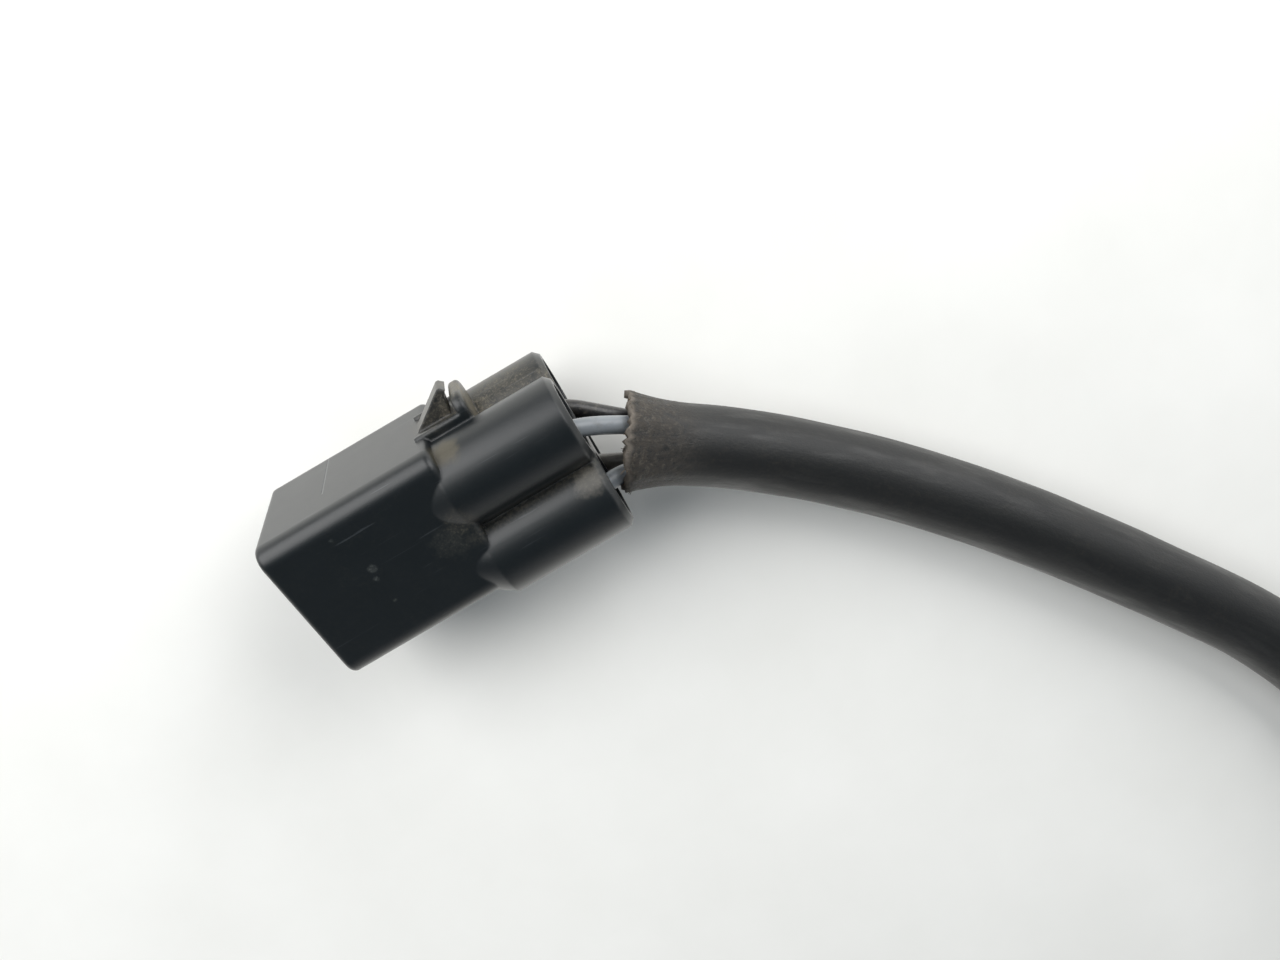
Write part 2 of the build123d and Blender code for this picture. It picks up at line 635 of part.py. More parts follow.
with BuildPart() as filter_cover:
    cover_front = VENT_X + FILTER_LENGTH / 2 + FILTER_COVER_FRONT_GAP
    cover_rear = cover_front - FILTER_COVER_LENGTH
    crimp_front = VENT_X - FILTER_LENGTH / 2 - FILTER_END_GAP
    crimp_length = crimp_front - cover_rear
    add(ring(FILTER_COVER_RADIUS, FILTER_RADIUS, cover_front, cover_rear))
    add(ring(FILTER_RADIUS, NECK_RADIUS, crimp_front, cover_rear))
    end_rims = filter_cover.edges().filter_by(GeomType.CIRCLE).sort_by(SortBy.RADIUS)[-2:]
    fillet(end_rims, FILTER_COVER_EDGE)
    for share in BEAD_PLACES:
        with BuildSketch(Plane.XY):
            with Locations((cover_rear + share * crimp_length,
                            FILTER_COVER_RADIUS + BEAD_RADIUS - BEAD_DEPTH)):
                Circle(BEAD_RADIUS)
        revolve(axis=Axis.X, mode=Mode.SUBTRACT)
    add(round_holes(VENT_X, VENT_RADIUS, VENT_COUNT, 30, COVER_RADIUS * 2),
        mode=Mode.SUBTRACT)
write(filter_cover, "filter_cover")

# -------------------------------------------------------------------- grommet
with BuildPart() as grommet:
    with BuildSketch(Plane.XY):
        with BuildLine():
            Polyline(
                (GROMMET_FRONT_X, 0),
                (GROMMET_FRONT_X, NECK_BORE - GROMMET_NOSE_CHAMFER),
                (GROMMET_FRONT_X - GROMMET_NOSE_CHAMFER, NECK_BORE),
                (COVER_END_X, NECK_BORE),
                (COVER_END_X, GROMMET_LIP_RADIUS),
                (GROMMET_REAR + GROMMET_LIP_CHAMFER, GROMMET_LIP_RADIUS),
                (GROMMET_REAR, GROMMET_LIP_RADIUS - GROMMET_LIP_CHAMFER),
                (GROMMET_REAR, SLEEVE_RADIUS + FIT_GAP),
                (SLEEVE_START_X, SLEEVE_RADIUS + FIT_GAP),
                (SLEEVE_START_X, 0),
                close=True,
            )
        make_face()
    revolve(axis=Axis.X)
    with BuildSketch(Plane.YZ.offset(GROMMET_REAR)):
        for colour in WIRES:
            with Locations(lead_place(colour)):
                Circle(WIRE_RADIUS + FIT_GAP / 2)
    extrude(amount=GROMMET_LENGTH, mode=Mode.SUBTRACT)
write(grommet, "grommet")

# -------------------------------------------------------------------- the plug
roll = radians(PLUG_ROLL)
PLUG_REST = (
    (BARREL_SHIFT + BARREL_PITCH / 2) * sin(roll)
    + BARREL_PITCH / 2 * cos(roll)
    + BARREL_RADIUS
)
# Sketches on this plane have the latch at +Y, and the plane's normal runs from
# the mouth to the wires.
PLUG = Plane(
    origin=(PLUG_MOUTH_X, PLUG_Y, FLOOR + PLUG_REST),
    x_dir=(0, -sin(roll), -cos(roll)),
    z_dir=(-1, 0, 0),
)
# Sketches on this one show the plug from the side, with X from the mouth to the
# wires and the latch at -Y.
PLUG_SIDE = Plane(origin=PLUG.origin, x_dir=PLUG.z_dir, z_dir=PLUG.x_dir)
CORNERS = {
    "black": (1, 1),
    "white_1": (-1, 1),
    "grey": (1, -1),
    "white_2": (-1, -1),
}


LATCH_FACE = PLUG_WIDTH / 2


def way_place(colour):
    """A way's centre on the plug's plane."""
    across, toward_latch = CORNERS[colour]
    return (across * BARREL_PITCH / 2, toward_latch * BARREL_PITCH / 2 - BARREL_SHIFT)


def shoulder_place(place):
    """The small end's centre, moved inward until its circle is inside the shroud."""
    moved = []
    for value, half in zip(place, (PLUG_DEPTH / 2, PLUG_WIDTH / 2)):
        furthest = half - SHOULDER_RADIUS - SHOULDER_INSET
        moved.append(max(-furthest, min(furthest, value)))
    return tuple(moved)


def barrel(place):
    """One solid wire barrel, and the slanting cone that it rises from."""
    with BuildPart() as made:
        with BuildSketch(PLUG.offset(SHOULDER_START)):
            with Locations(shoulder_place(place)):
                Circle(SHOULDER_RADIUS)
        with BuildSketch(PLUG.offset(SHOULDER_END)):
            with Locations(place):
                Circle(BARREL_RADIUS)
        loft()
        with BuildSketch(PLUG.offset(SHOULDER_END)):
            with Locations(place):
                Circle(BARREL_RADIUS)
        extrude(amount=PLUG_LENGTH - SHOULDER_END)
        chamfer(made.edges().group_by(Axis.X)[0], BARREL_EDGE)
    return made.part


def latch():
    """A tray on the barrels with a rail each side, a wedge and a stop behind it."""
    rail_place = (LATCH_PAD_WIDTH - LATCH_RAIL_WIDTH) / 2
    with BuildPart() as stop:
        with BuildSketch(PLUG.offset(LATCH_PAD_END - LATCH_STOP_LENGTH)):
            with Locations((0, LATCH_FACE + LATCH_STOP_HEIGHT)):
                RectangleRounded(LATCH_PAD_WIDTH, 2 * (LATCH_STOP_HEIGHT + LATCH_DEPTH),
                                 LATCH_STOP_ROUND, align=(Align.CENTER, Align.MAX))
        extrude(amount=LATCH_STOP_LENGTH)
        fillet(stop.edges().group_by(Axis.X)[0], LATCH_STOP_EDGE)
        fillet(stop.edges().group_by(Axis.X)[-1], LATCH_STOP_EDGE)
        split(bisect_by=Plane(PLUG.from_local_coords(Vector(0, LATCH_FACE - LATCH_DEPTH, 0)),
                              z_dir=PLUG.y_dir))
    with BuildPart() as made:
        with BuildSketch(PLUG.offset(LATCH_PAD_FRONT)):
            with Locations((0, LATCH_FACE)):
                Rectangle(LATCH_PAD_WIDTH - LATCH_RAIL_WIDTH, LATCH_DEPTH,
                          align=(Align.CENTER, Align.MAX))
            with Locations((rail_place, LATCH_FACE + LATCH_RAIL_HEIGHT),
                           (-rail_place, LATCH_FACE + LATCH_RAIL_HEIGHT)):
                RectangleRounded(LATCH_RAIL_WIDTH, LATCH_DEPTH, LATCH_RAIL_WIDTH * 0.4,
                                 align=(Align.CENTER, Align.MAX))
        extrude(amount=LATCH_PAD_END - LATCH_PAD_FRONT - LATCH_STOP_LENGTH / 2)
        with BuildSketch(PLUG_SIDE.offset(-LATCH_WIDTH / 2)):
            with BuildLine():
                Polyline(
                    (LATCH_FRONT, -LATCH_FACE + 0.5),
                    (LATCH_FRONT, -LATCH_FACE),
                    (LATCH_APEX - 0.3, -LATCH_FACE - LATCH_HEIGHT),
                    (LATCH_APEX, -LATCH_FACE - LATCH_HEIGHT),
                    (LATCH_APEX + LATCH_HOOK, -LATCH_FACE - LATCH_HEIGHT + LATCH_HOOK),
                    (LATCH_APEX, -LATCH_FACE - LATCH_HEIGHT + 2 * LATCH_HOOK),
                    (LATCH_REAR, -LATCH_FACE),
                    (LATCH_REAR, -LATCH_FACE + 0.5),
                    close=True,
                )
            make_face()
        extrude(amount=LATCH_WIDTH)
        add(stop.part)
    return made.part


WAYS = [way_place(colour) for colour in WIRES]
SHROUD_FLAT_END = SHROUD_LENGTH - 1.0

with BuildPart() as connector_housing:
    with BuildSketch(PLUG):
        RectangleRounded(PLUG_DEPTH, PLUG_WIDTH, SHROUD_CORNER)
    extrude(amount=SHROUD_LENGTH)
    fillet(connector_housing.edges().group_by(Axis.X)[-1], MOUTH_EDGE)
    fillet(connector_housing.edges().group_by(Axis.X)[0], SHROUD_REAR_EDGE)
    # Four wire barrels rise from the shroud with rounded shoulders.
    for place in WAYS:
        add(barrel(place))
    # The web between the barrels.
    with BuildSketch(PLUG.offset(SHROUD_LENGTH - 1)):
        with Locations((0, -BARREL_SHIFT)):
            Rectangle(BARREL_PITCH, BARREL_PITCH)
    extrude(amount=PLUG_LENGTH - SHROUD_LENGTH + 1)
    add(latch())
    # Inside: the socket, the pins' tunnels and the bores for the wire seals.
    with BuildSketch(PLUG):
        RectangleRounded(PLUG_DEPTH - 2 * SHROUD_WALL, PLUG_WIDTH - 2 * SHROUD_WALL,
                         CAVITY_CORNER)
        with Locations((0, LATCH_FACE - SHROUD_WALL - KEY_HEIGHT / 2)):
            Rectangle(KEY_WIDTH, KEY_HEIGHT, mode=Mode.SUBTRACT)
    extrude(amount=CAVITY_DEPTH, mode=Mode.SUBTRACT)
    for place in WAYS:
        with BuildSketch(PLUG.offset(CAVITY_DEPTH)):
            with Locations(place):
                Rectangle(CHAMBER_WIDTH, CHAMBER_HEIGHT)
        extrude(amount=PLUG_LENGTH - CAVITY_DEPTH, mode=Mode.SUBTRACT)
        with BuildSketch(PLUG.offset(SEAL_FRONT)):
            with Locations(place):
                Circle(SEAL_BORE)
        extrude(amount=PLUG_LENGTH - SEAL_FRONT, mode=Mode.SUBTRACT)
write(connector_housing, "connector_housing")

with BuildPart() as terminal_retainer:
    # A plate on the socket's floor that locks the four pins.
    with BuildSketch(PLUG.offset(CAVITY_DEPTH - RETAINER_THICKNESS)):
        RectangleRounded(PLUG_DEPTH - 2 * (SHROUD_WALL + RETAINER_GAP),
                         PLUG_WIDTH - 2 * (SHROUD_WALL + RETAINER_GAP), RETAINER_CORNER)
        with Locations((0, LATCH_FACE - SHROUD_WALL - KEY_HEIGHT / 2)):
            Rectangle(KEY_WIDTH + RETAINER_KEY_GAP, KEY_HEIGHT + RETAINER_KEY_GAP,
                      mode=Mode.SUBTRACT)
        for place in WAYS:
            with Locations(place):
                Rectangle(PIN_WIDTH + RETAINER_GAP, PIN_THICKNESS + RETAINER_GAP,
                          mode=Mode.SUBTRACT)
    extrude(amount=RETAINER_THICKNESS)
write(terminal_retainer, "terminal_retainer")

for colour in WIRES:
    place = way_place(colour)
    with BuildPart() as pin_terminal:
        # Flat blade, folded box body and round wire crimp, stamped as one.
        with BuildSketch(PLUG.offset(PIN_TIP)):
            with Locations(place):
                Rectangle(PIN_WIDTH, PIN_THICKNESS)
        extrude(amount=PIN_BODY_FRONT - PIN_TIP + PIN_BODY_OVERLAP)
        chamfer(pin_terminal.edges().group_by(Axis.X)[-1], PIN_TIP_CHAMFER)
        with BuildSketch(PLUG.offset(PIN_BODY_FRONT)):
            with Locations(place):
                Rectangle(PIN_BODY_WIDTH, PIN_BODY_HEIGHT)
        extrude(amount=PIN_BODY_LENGTH - PIN_CRIMP_LENGTH)
        with BuildSketch(PLUG.offset(PIN_BODY_FRONT + PIN_BODY_LENGTH - PIN_CRIMP_LENGTH)):
            with Locations(place):
                Circle(CRIMP_RADIUS)
                Circle(CONDUCTOR_RADIUS, mode=Mode.SUBTRACT)
        extrude(amount=PIN_CRIMP_LENGTH)
    write(pin_terminal, f"pin_terminal_{colour}")

    with BuildPart() as wire_seal:
        # A ribbed rubber plug round the wire.
        with BuildSketch(PLUG.offset(SEAL_FRONT)):
            with Locations(place):
                Circle(SEAL_BORE - SEAL_WAIST)
                Circle(WIRE_RADIUS + FIT_GAP / 2, mode=Mode.SUBTRACT)
        extrude(amount=SEAL_LENGTH)
        for rib in range(SEAL_RIBS):
            rib_start = SEAL_FRONT + SEAL_RIB_START + SEAL_RIB_PITCH * rib
            with BuildSketch(PLUG.offset(rib_start)):
                with Locations(place):
                    Circle(SEAL_BORE - SEAL_SQUEEZE_GAP)
                    Circle(WIRE_RADIUS + FIT_GAP / 2, mode=Mode.SUBTRACT)
            extrude(amount=SEAL_RIB_WIDTH)
    write(wire_seal, f"wire_seal_{colour}")

# ------------------------------------------------------------------ sleeved lead
route = [Vector(*point) for point in LEAD_ROUTE]
route_radii = bend_radii(route)
print("sleeving bends, mm:", [round(radius, 1) for radius in route_radii])

with BuildPart() as sleeving:
    with BuildLine():
        centre_line = FilletPolyline(*route, radius=route_radii)
    with BuildSketch(Plane(origin=route[0], x_dir=(0, 1, 0), z_dir=route[1] - route[0])):
        Circle(SLEEVE_RADIUS)
        Circle(SLEEVE_RADIUS - SLEEVE_WALL, mode=Mode.SUBTRACT)
    sweep()
    # The free end has frayed and opened out like a bell.
    last_run = (route[-1] - route[-2]).normalized()
    bell_start = Plane(origin=route[-1] - last_run * SLEEVE_FLARE_LENGTH, z_dir=last_run)
    bell_end = Plane(origin=route[-1], z_dir=last_run)
    with BuildSketch(bell_start):
        Circle(SLEEVE_RADIUS)
    with BuildSketch(bell_end):
        Circle(SLEEVE_FLARE_RADIUS)
    loft()
    with BuildSketch(bell_start):
        Circle(SLEEVE_RADIUS - SLEEVE_WALL)
    with BuildSketch(bell_end):
        Circle(SLEEVE_FLARE_RADIUS - SLEEVE_WALL)
    loft(mode=Mode.SUBTRACT)
write(sleeving, "sleeving")
lead_length = centre_line.length
print("sleeving length, mm:", round(lead_length, 1))


def plug_point(colour, depth):
    """A point on a way's axis, that far from the mouth."""
    across, up = way_place(colour)
    return PLUG.from_local_coords(Vector(across, up, depth))


CRIMP_END = PIN_BODY_FRONT + PIN_BODY_LENGTH
for colour, (side, up) in WIRES.items():
    y, z = lead_place(colour)
    inside = beside(route[1:-1], side * BUNDLE_OFFSET, up * BUNDLE_OFFSET)
    mouth = beside(route[-2:], side * MOUTH_OFFSET, up * MOUTH_OFFSET)[-1]
    wire_route = [
        Vector(CRIMP_FRONT - CRIMP_LENGTH, y, z),
        Vector(GROMMET_REAR - 2, y, z),
        *inside,
        mouth,
        plug_point(colour, PLUG_LENGTH - WIRE_BEND_DEPTH),
        plug_point(colour, CRIMP_END),
    ]
    wire_radii = bend_radii(wire_route)
    print(colour, "wire bends, mm:", [round(radius, 1) for radius in wire_radii])
    with BuildPart() as wire:
        with BuildLine():
            wire_line = FilletPolyline(*wire_route, radius=wire_radii)
        with BuildSketch(Plane(origin=wire_route[0], z_dir=(-1, 0, 0))):
            Circle(WIRE_RADIUS)
        sweep()
        # The bare strands at each end, inside the crimps.
        with BuildSketch(Plane(origin=wire_route[0], z_dir=(1, 0, 0))):
            Circle(CONDUCTOR_RADIUS)
        extrude(amount=CONDUCTOR_LENGTH)
        with BuildSketch(Plane(origin=wire_route[-1], z_dir=(1, 0, 0))):
            Circle(CONDUCTOR_RADIUS)
        extrude(amount=CONDUCTOR_LENGTH)
    print(colour, "wire length, mm:", round(wire_line.length, 1),
          "swept volume ratio:",
          round(wire.part.volume / (3.14159 * WIRE_RADIUS ** 2 * wire_line.length), 3))
    write(wire, f"wire_{colour}")
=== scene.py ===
import json
from math import cos, hypot, pi, radians, sin

import bmesh
import bpy
from mathutils import Matrix, Vector, noise


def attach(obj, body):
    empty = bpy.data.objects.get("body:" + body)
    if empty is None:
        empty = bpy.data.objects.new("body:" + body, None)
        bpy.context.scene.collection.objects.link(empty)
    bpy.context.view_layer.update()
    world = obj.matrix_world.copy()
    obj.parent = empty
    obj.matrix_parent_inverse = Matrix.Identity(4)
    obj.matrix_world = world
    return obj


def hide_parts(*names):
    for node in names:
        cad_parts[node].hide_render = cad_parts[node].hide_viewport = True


bl_info = {
    "name": "Oxygen Sensor Dressing",
    "version": (1, 0, 0),
    "blender": (4, 5, 0),
    "location": "3D View > Sidebar > Sensor",
    "description": "Dresses a heated oxygen sensor: thread, sleeved lead, plug and finishes",
    "category": "Object",
}

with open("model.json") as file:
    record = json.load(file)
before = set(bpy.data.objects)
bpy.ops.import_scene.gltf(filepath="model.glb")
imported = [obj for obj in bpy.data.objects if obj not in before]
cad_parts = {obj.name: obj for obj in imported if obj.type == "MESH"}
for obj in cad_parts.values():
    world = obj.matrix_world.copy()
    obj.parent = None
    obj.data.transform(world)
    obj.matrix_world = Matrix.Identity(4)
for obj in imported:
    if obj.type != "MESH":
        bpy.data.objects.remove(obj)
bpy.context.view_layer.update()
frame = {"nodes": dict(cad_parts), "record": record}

MM = 0.001
BODY = "root"

# ------------------------------------------------------------------ shared places
# Places and lengths are in millimetres. The origin is on the thread's axis at the
# gasket's face, +X runs to the sensing tip, and everything lies on the floor.
FLOOR_Z = -11.0
PLUG_ROLL = radians(17.0)
PLUG_MOUTH = Vector((-25.0, -149.4, -0.167))

# The plug's own directions: from its mouth to its wires, from its latch to the
# opposite face, and from its upper side to its lower side.
ALONG = Vector((-1, 0, 0))
AWAY = Vector((0, cos(PLUG_ROLL), -sin(PLUG_ROLL)))
UNDER = Vector((0, -sin(PLUG_ROLL), -cos(PLUG_ROLL)))
PLUG_PLACE = (Matrix.Translation(PLUG_MOUTH * MM)
              @ Matrix((ALONG, AWAY, UNDER)).transposed().to_4x4())

PLUG_LENGTH = 33.0
BARREL_PITCH = 8.8
BARREL_SHIFT = 1.5
WIRE_BEND_DEPTH = 2.8
PIN_CRIMP_END = 22.8

# The lead: where the grommet ends and the sleeving starts, and the sleeving's route.
GROMMET_REAR = -55.0
GROMMET_STRAIGHT = 2.0         # how far past its end the wires still run straight
SLEEVE_START = -53.0
SLEEVE_RADIUS = 4.6
SLEEVE_WALL = 0.8
SLEEVE_Z = FLOOR_Z + SLEEVE_RADIUS
LEAD_ROUTE = [
    (SLEEVE_START, 0.0, 0.0),
    (-69.5, 0.0, 0.0),
    (-89.6, -3.1, -4.9),
    (-109.0, -13.8, SLEEVE_Z),
    (-122.5, -32.4, SLEEVE_Z),
    (-126.7, -56.0, SLEEVE_Z),
    (-120.9, -79.3, SLEEVE_Z),
    (-107.1, -99.0, SLEEVE_Z),
    (-93.7, -116.4, SLEEVE_Z),
    (-81.3, -129.3, SLEEVE_Z),
    (-69.6, -139.5, -4.2),
    (-61.5, -144.8, -1.4),
]

# Each wire: its side of the lead and whether it is above the centre line, then
# its corner of the plug, across the plug and toward the latch.
WIRES = {
    "black": ((-1, -1), (1, 1)),
    "white_1": ((-1, 1), (-1, 1)),
    "grey": ((1, -1), (1, -1)),
    "white_2": ((1, 1), (-1, -1)),
}
WIRE_RADIUS = 1.0
CONTACT_SPACING = 3.2
BUNDLE_OFFSET = 1.1
MOUTH_OFFSET = 2.4
SEPARATOR_REAR = -33.2
CRIMP_BACK = 4.6               # from the separator's end to the wires' ends

# The sensor's thread.
THREAD_RADIUS = 9.0
THREAD_ROOT = 8.08
THREAD_PITCH = 1.5
THREAD_LENGTH = 10.5
THREAD_CHAMFER = 1.0
UNDERCUT_RADIUS = 8.0

# ------------------------------------------------------------------------- camera
LENS_WIDTH = 36.0
LENS_LENGTH = 26.77
CAMERA_IN_PLUG = (37.05, -38.6, -93.8)
AIM_IN_PLUG = (-0.0148, 0.4562, 0.8897)
TOP_IN_PLUG = (0.5041, -0.7651, 0.4007)


def plug_direction(along, away, under):
    """A direction given along the plug's own three, in the part's frame."""
    return ALONG * along + AWAY * away + UNDER * under


def plug_point(along, away, under):
    """A point given in millimetres along the plug's own directions."""
    return PLUG_MOUTH + plug_direction(along, away, under)


def linear(*screen):
    """A colour given as screen values from 0 to 255, as linear light."""
    parts = [value / 255 for value in screen]
    return (*[part / 12.92 if part <= 0.04045 else ((part + 0.055) / 1.055) ** 2.4
              for part in parts], 1.0)


# ---------------------------------------------------------------------- node trees
NODES_IN_ROW = 12              # how the node editor shows a tree
NODE_WIDTH = 180
NODE_HEIGHT = 220


class Graph:
    """A node tree, with short ways to add nodes to it and join them."""

    def __init__(self, tree):
        self.tree = tree

    def add(self, kind, sockets=None, **settings):
        """A node with its own settings, then values or links on its inputs."""
        node = self.tree.nodes.new(kind)
        row, column = divmod(len(self.tree.nodes), NODES_IN_ROW)
        node.location = (NODE_WIDTH * column, -NODE_HEIGHT * row)
        for name, value in settings.items():
            setattr(node, name, value)
        self.fill(node, sockets or {})
        return node

    def fill(self, node, sockets):
        """Values or links for a node's inputs, by their name or number."""
        for key, value in sockets.items():
            if isinstance(value, bpy.types.NodeSocket):
                self.tree.links.new(value, node.inputs[key])
            else:
                node.inputs[key].default_value = value

    def math(self, operation, first, second=0.0, third=0.0, clamp=False):
        return self.add("ShaderNodeMath", {0: first, 1: second, 2: third}, operation=operation,
                        use_clamp=clamp).outputs[0]

    def compare(self, operation, first, second):
        """A number from two vectors, such as their distance."""
        return self.add("ShaderNodeVectorMath", {0: first, 1: second},
                        operation=operation).outputs["Value"]

    def ease(self, value, low, high, at_low=0.0, at_high=1.0):
        """A smooth step from at_low to at_high while value goes from low to high."""
        sockets = {"Value": value, "From Min": low, "From Max": high,
                   "To Min": at_low, "To Max": at_high}
        return self.add("ShaderNodeMapRange", sockets,
                        interpolation_type="SMOOTHSTEP").outputs["Result"]

    def noise(self, place, scale, detail=3.0, roughness=0.55):
        sockets = {"Vector": place, "Scale": scale, "Detail": detail, "Roughness": roughness}
        return self.add("ShaderNodeTexNoise", sockets).outputs["Fac"]

    def mix(self, share, first, second):
        """A colour between two, nearer the second as the share grows."""
        return self.add("ShaderNodeMix", {0: share, 6: first, 7: second},
                        data_type="RGBA").outputs[2]

    def bump(self, height, distance, normal=None):
        sockets = {"Height": height, "Distance": distance}
        if normal is not None:
            sockets["Normal"] = normal
        return self.add("ShaderNodeBump", sockets).outputs["Normal"]

    def use(self, name, sockets=None):
        """The outputs of a shared group, with values or links on its named inputs."""
        return self.add("ShaderNodeGroup", sockets,
                        node_tree=bpy.data.node_groups[name]).outputs


def new_group(name, inputs, outputs):
    """An empty shared group: its graph, its inputs and a way to set its outputs."""
    tree = bpy.data.node_groups.new(name, "ShaderNodeTree")
    for label, kind, value in inputs:
        socket = tree.interface.new_socket(label, in_out="INPUT", socket_type=kind)
        socket.default_value = value
    for label, kind in outputs:
        tree.interface.new_socket(label, in_out="OUTPUT", socket_type=kind)
    graph = Graph(tree)
    source = graph.add("NodeGroupInput").outputs
    sink = graph.add("NodeGroupOutput")

    def give(label, socket):
        tree.links.new(socket, sink.inputs[label])

    return graph, source, give


FLOAT = "NodeSocketFloat"
VECTOR = "NodeSocketVector"


def make_millimetres_group():
    """The object's own coordinates in millimetres, and how far a face looks up."""
    graph, _, give = new_group("Millimetres", [], [("Place", VECTOR), ("Up", FLOAT)])
    own = graph.add("ShaderNodeTexCoord").outputs["Object"]
    give("Place", graph.add("ShaderNodeVectorMath", {0: own, "Scale": 1 / MM},
                            operation="SCALE").outputs["Vector"])
    normal = graph.add("ShaderNodeNewGeometry").outputs["Normal"]
    give("Up", graph.add("ShaderNodeSeparateXYZ", {0: normal}).outputs["Z"])


def make_grain_group():
    """The fine skin of a moulded or sintered surface."""
    graph, source, give = new_group(
        "Fine grain",
        [("Place", VECTOR, (0, 0, 0)), ("Grains per mm", FLOAT, 4.0), ("Depth", FLOAT, 0.00001)],
        [("Value", FLOAT), ("Normal", VECTOR)])
    fine = graph.noise(source["Place"], source["Grains per mm"], 4.0)
    broad = graph.noise(source["Place"], 0.35, 2.0)
    give("Value", graph.math("ADD", graph.math("MULTIPLY", fine, 0.5),
                             graph.math("MULTIPLY", broad, 0.5)))
    give("Normal", graph.bump(fine, source["Depth"]))


def make_dust_group():
    """Settled dust: soft patches broken into specks, thicker on upward faces."""
    graph, source, give = new_group(
        "Settled dust",
        [("Place", VECTOR, (0, 0, 0)), ("Up", FLOAT, 0.0), ("Amount", FLOAT, 0.4),
         ("Specks per mm", FLOAT, 2.5)],
        [("Mask", FLOAT)])
    patches = graph.ease(graph.noise(source["Place"], 0.22, 3.0), 0.35, 0.75)
    specks = graph.ease(graph.noise(source["Place"], source["Specks per mm"], 5.0, 0.75),
                        0.45, 0.75)
    facing = graph.ease(source["Up"], -0.2, 1.0, 0.35, 1.0)
    spread = graph.math("MULTIPLY", graph.math("ADD", patches, 0.25), specks)
    give("Mask", graph.math("MULTIPLY", graph.math("MULTIPLY", spread, facing),
                            source["Amount"], clamp=True))


def make_edge_group():
    """Worn edges, where a rounded normal leaves the true one."""
    graph, source, give = new_group(
        "Worn edges",
        [("Place", VECTOR, (0, 0, 0)), ("Width", FLOAT, 0.0004), ("Amount", FLOAT, 0.5)],
        [("Mask", FLOAT)])
    rounded = graph.add("ShaderNodeBevel", {"Radius": source["Width"]}, samples=4)
    flat = graph.add("ShaderNodeNewGeometry").outputs["Normal"]
    agreement = graph.compare("DOT_PRODUCT", rounded.outputs[0], flat)
    edge = graph.ease(agreement, 0.75, 0.99, 1.0, 0.0)
    broken = graph.ease(graph.noise(source["Place"], 1.2, 4.0), 0.3, 0.65)
    give("Mask", graph.math("MULTIPLY", graph.math("MULTIPLY", edge, broken),
                            source["Amount"], clamp=True))


# Each layer of scratches: how far it is turned, and how its noise is drawn out.
SCRATCH_LAYERS = ((0.5, (0.12, 2.6, 2.6)), (-0.9, (0.08, 3.4, 3.4)))


def make_scratch_group():
    """Thin straight scratches in two directions, from noise drawn out lengthwise."""
    graph, source, give = new_group(
        "Scratches",
        [("Place", VECTOR, (0, 0, 0)), ("Amount", FLOAT, 0.5)],
        [("Mask", FLOAT)])
    layers = []
    for turn, stretch in SCRATCH_LAYERS:
        turned = graph.add("ShaderNodeMapping",
                           {"Vector": source["Place"], "Rotation": (turn, turn, turn),
                            "Scale": stretch}).outputs[0]
        layers.append(graph.ease(graph.noise(turned, 1.0, 2.0), 0.70, 0.76))
    give("Mask", graph.math("MULTIPLY", graph.math("MAXIMUM", *layers), source["Amount"]))


def make_spot_group():
    """A soft, ragged spot about a point."""
    graph, source, give = new_group(
        "Spot",
        [("Place", VECTOR, (0, 0, 0)), ("Centre", VECTOR, (0, 0, 0)), ("Radius", FLOAT, 1.0),
         ("Ragged", FLOAT, 1.0)],
        [("Mask", FLOAT)])
    distance = graph.compare("DISTANCE", source["Place"], source["Centre"])
    wander = graph.math("MULTIPLY", graph.math("SUBTRACT", graph.noise(source["Place"], 0.9, 4.0),
                                               0.5), source["Ragged"])
    share = graph.math("DIVIDE", graph.math("ADD", distance, wander), source["Radius"])
    give("Mask", graph.ease(share, 0.35, 1.0, 1.0, 0.0))


def make_turned_group():
    """The fine rings that a lathe leaves about the sensor's axis."""
    graph, source, give = new_group(
        "Turned rings",
        [("Place", VECTOR, (0, 0, 0)), ("Rings per mm", FLOAT, 6.0), ("Depth", FLOAT, 0.000004)],
        [("Value", FLOAT), ("Normal", VECTOR)])
    along = graph.add("ShaderNodeSeparateXYZ", {0: source["Place"]}).outputs["X"]
    rings = graph.add("ShaderNodeTexNoise", {"W": along, "Scale": source["Rings per mm"],
                                             "Detail": 3.0}, noise_dimensions="1D").outputs["Fac"]
    stain = graph.noise(source["Place"], 0.25, 3.0)
    give("Value", graph.math("ADD", graph.math("MULTIPLY", rings, 0.4),
                             graph.math("MULTIPLY", stain, 0.6)))
    give("Normal", graph.bump(rings, source["Depth"]))


GROUP_MAKERS = (make_millimetres_group, make_grain_group, make_dust_group, make_edge_group,
                make_scratch_group, make_spot_group, make_turned_group)


# ----------------------------------------------------------------------- materials
# Every finish's name starts so, to keep it apart from the CAD's own plain material.
FINISH = "finish_"

# What wear, dirt and heat show on the pieces.
BRIGHT_EDGE = linear(205, 202, 196)
DUST = linear(126, 118, 104)
SOOT = linear(52, 46, 42)
PLAIN_STAINLESS = linear(178, 168, 146)
# Each heat tint: where it starts and where it is full along the sensor, and its colour.
HEAT_TINTS = ((11.0, 17.0, linear(164, 132, 92)),
              (17.0, 23.0, linear(104, 92, 104)),
              (22.0, 30.0, linear(98, 108, 120)))
LIGHT_GRAIN = 1.35             # how much lighter than its colour a moulded skin's grain is


def new_material(name):
    """A new finish: its graph, its Principled shader and the object's millimetres."""
    material = bpy.data.materials.new(FINISH + name)
    material.use_nodes = True
    graph = Graph(material.node_tree)
    shader = material.node_tree.nodes["Principled BSDF"]
    return graph, shader, graph.use("Millimetres")


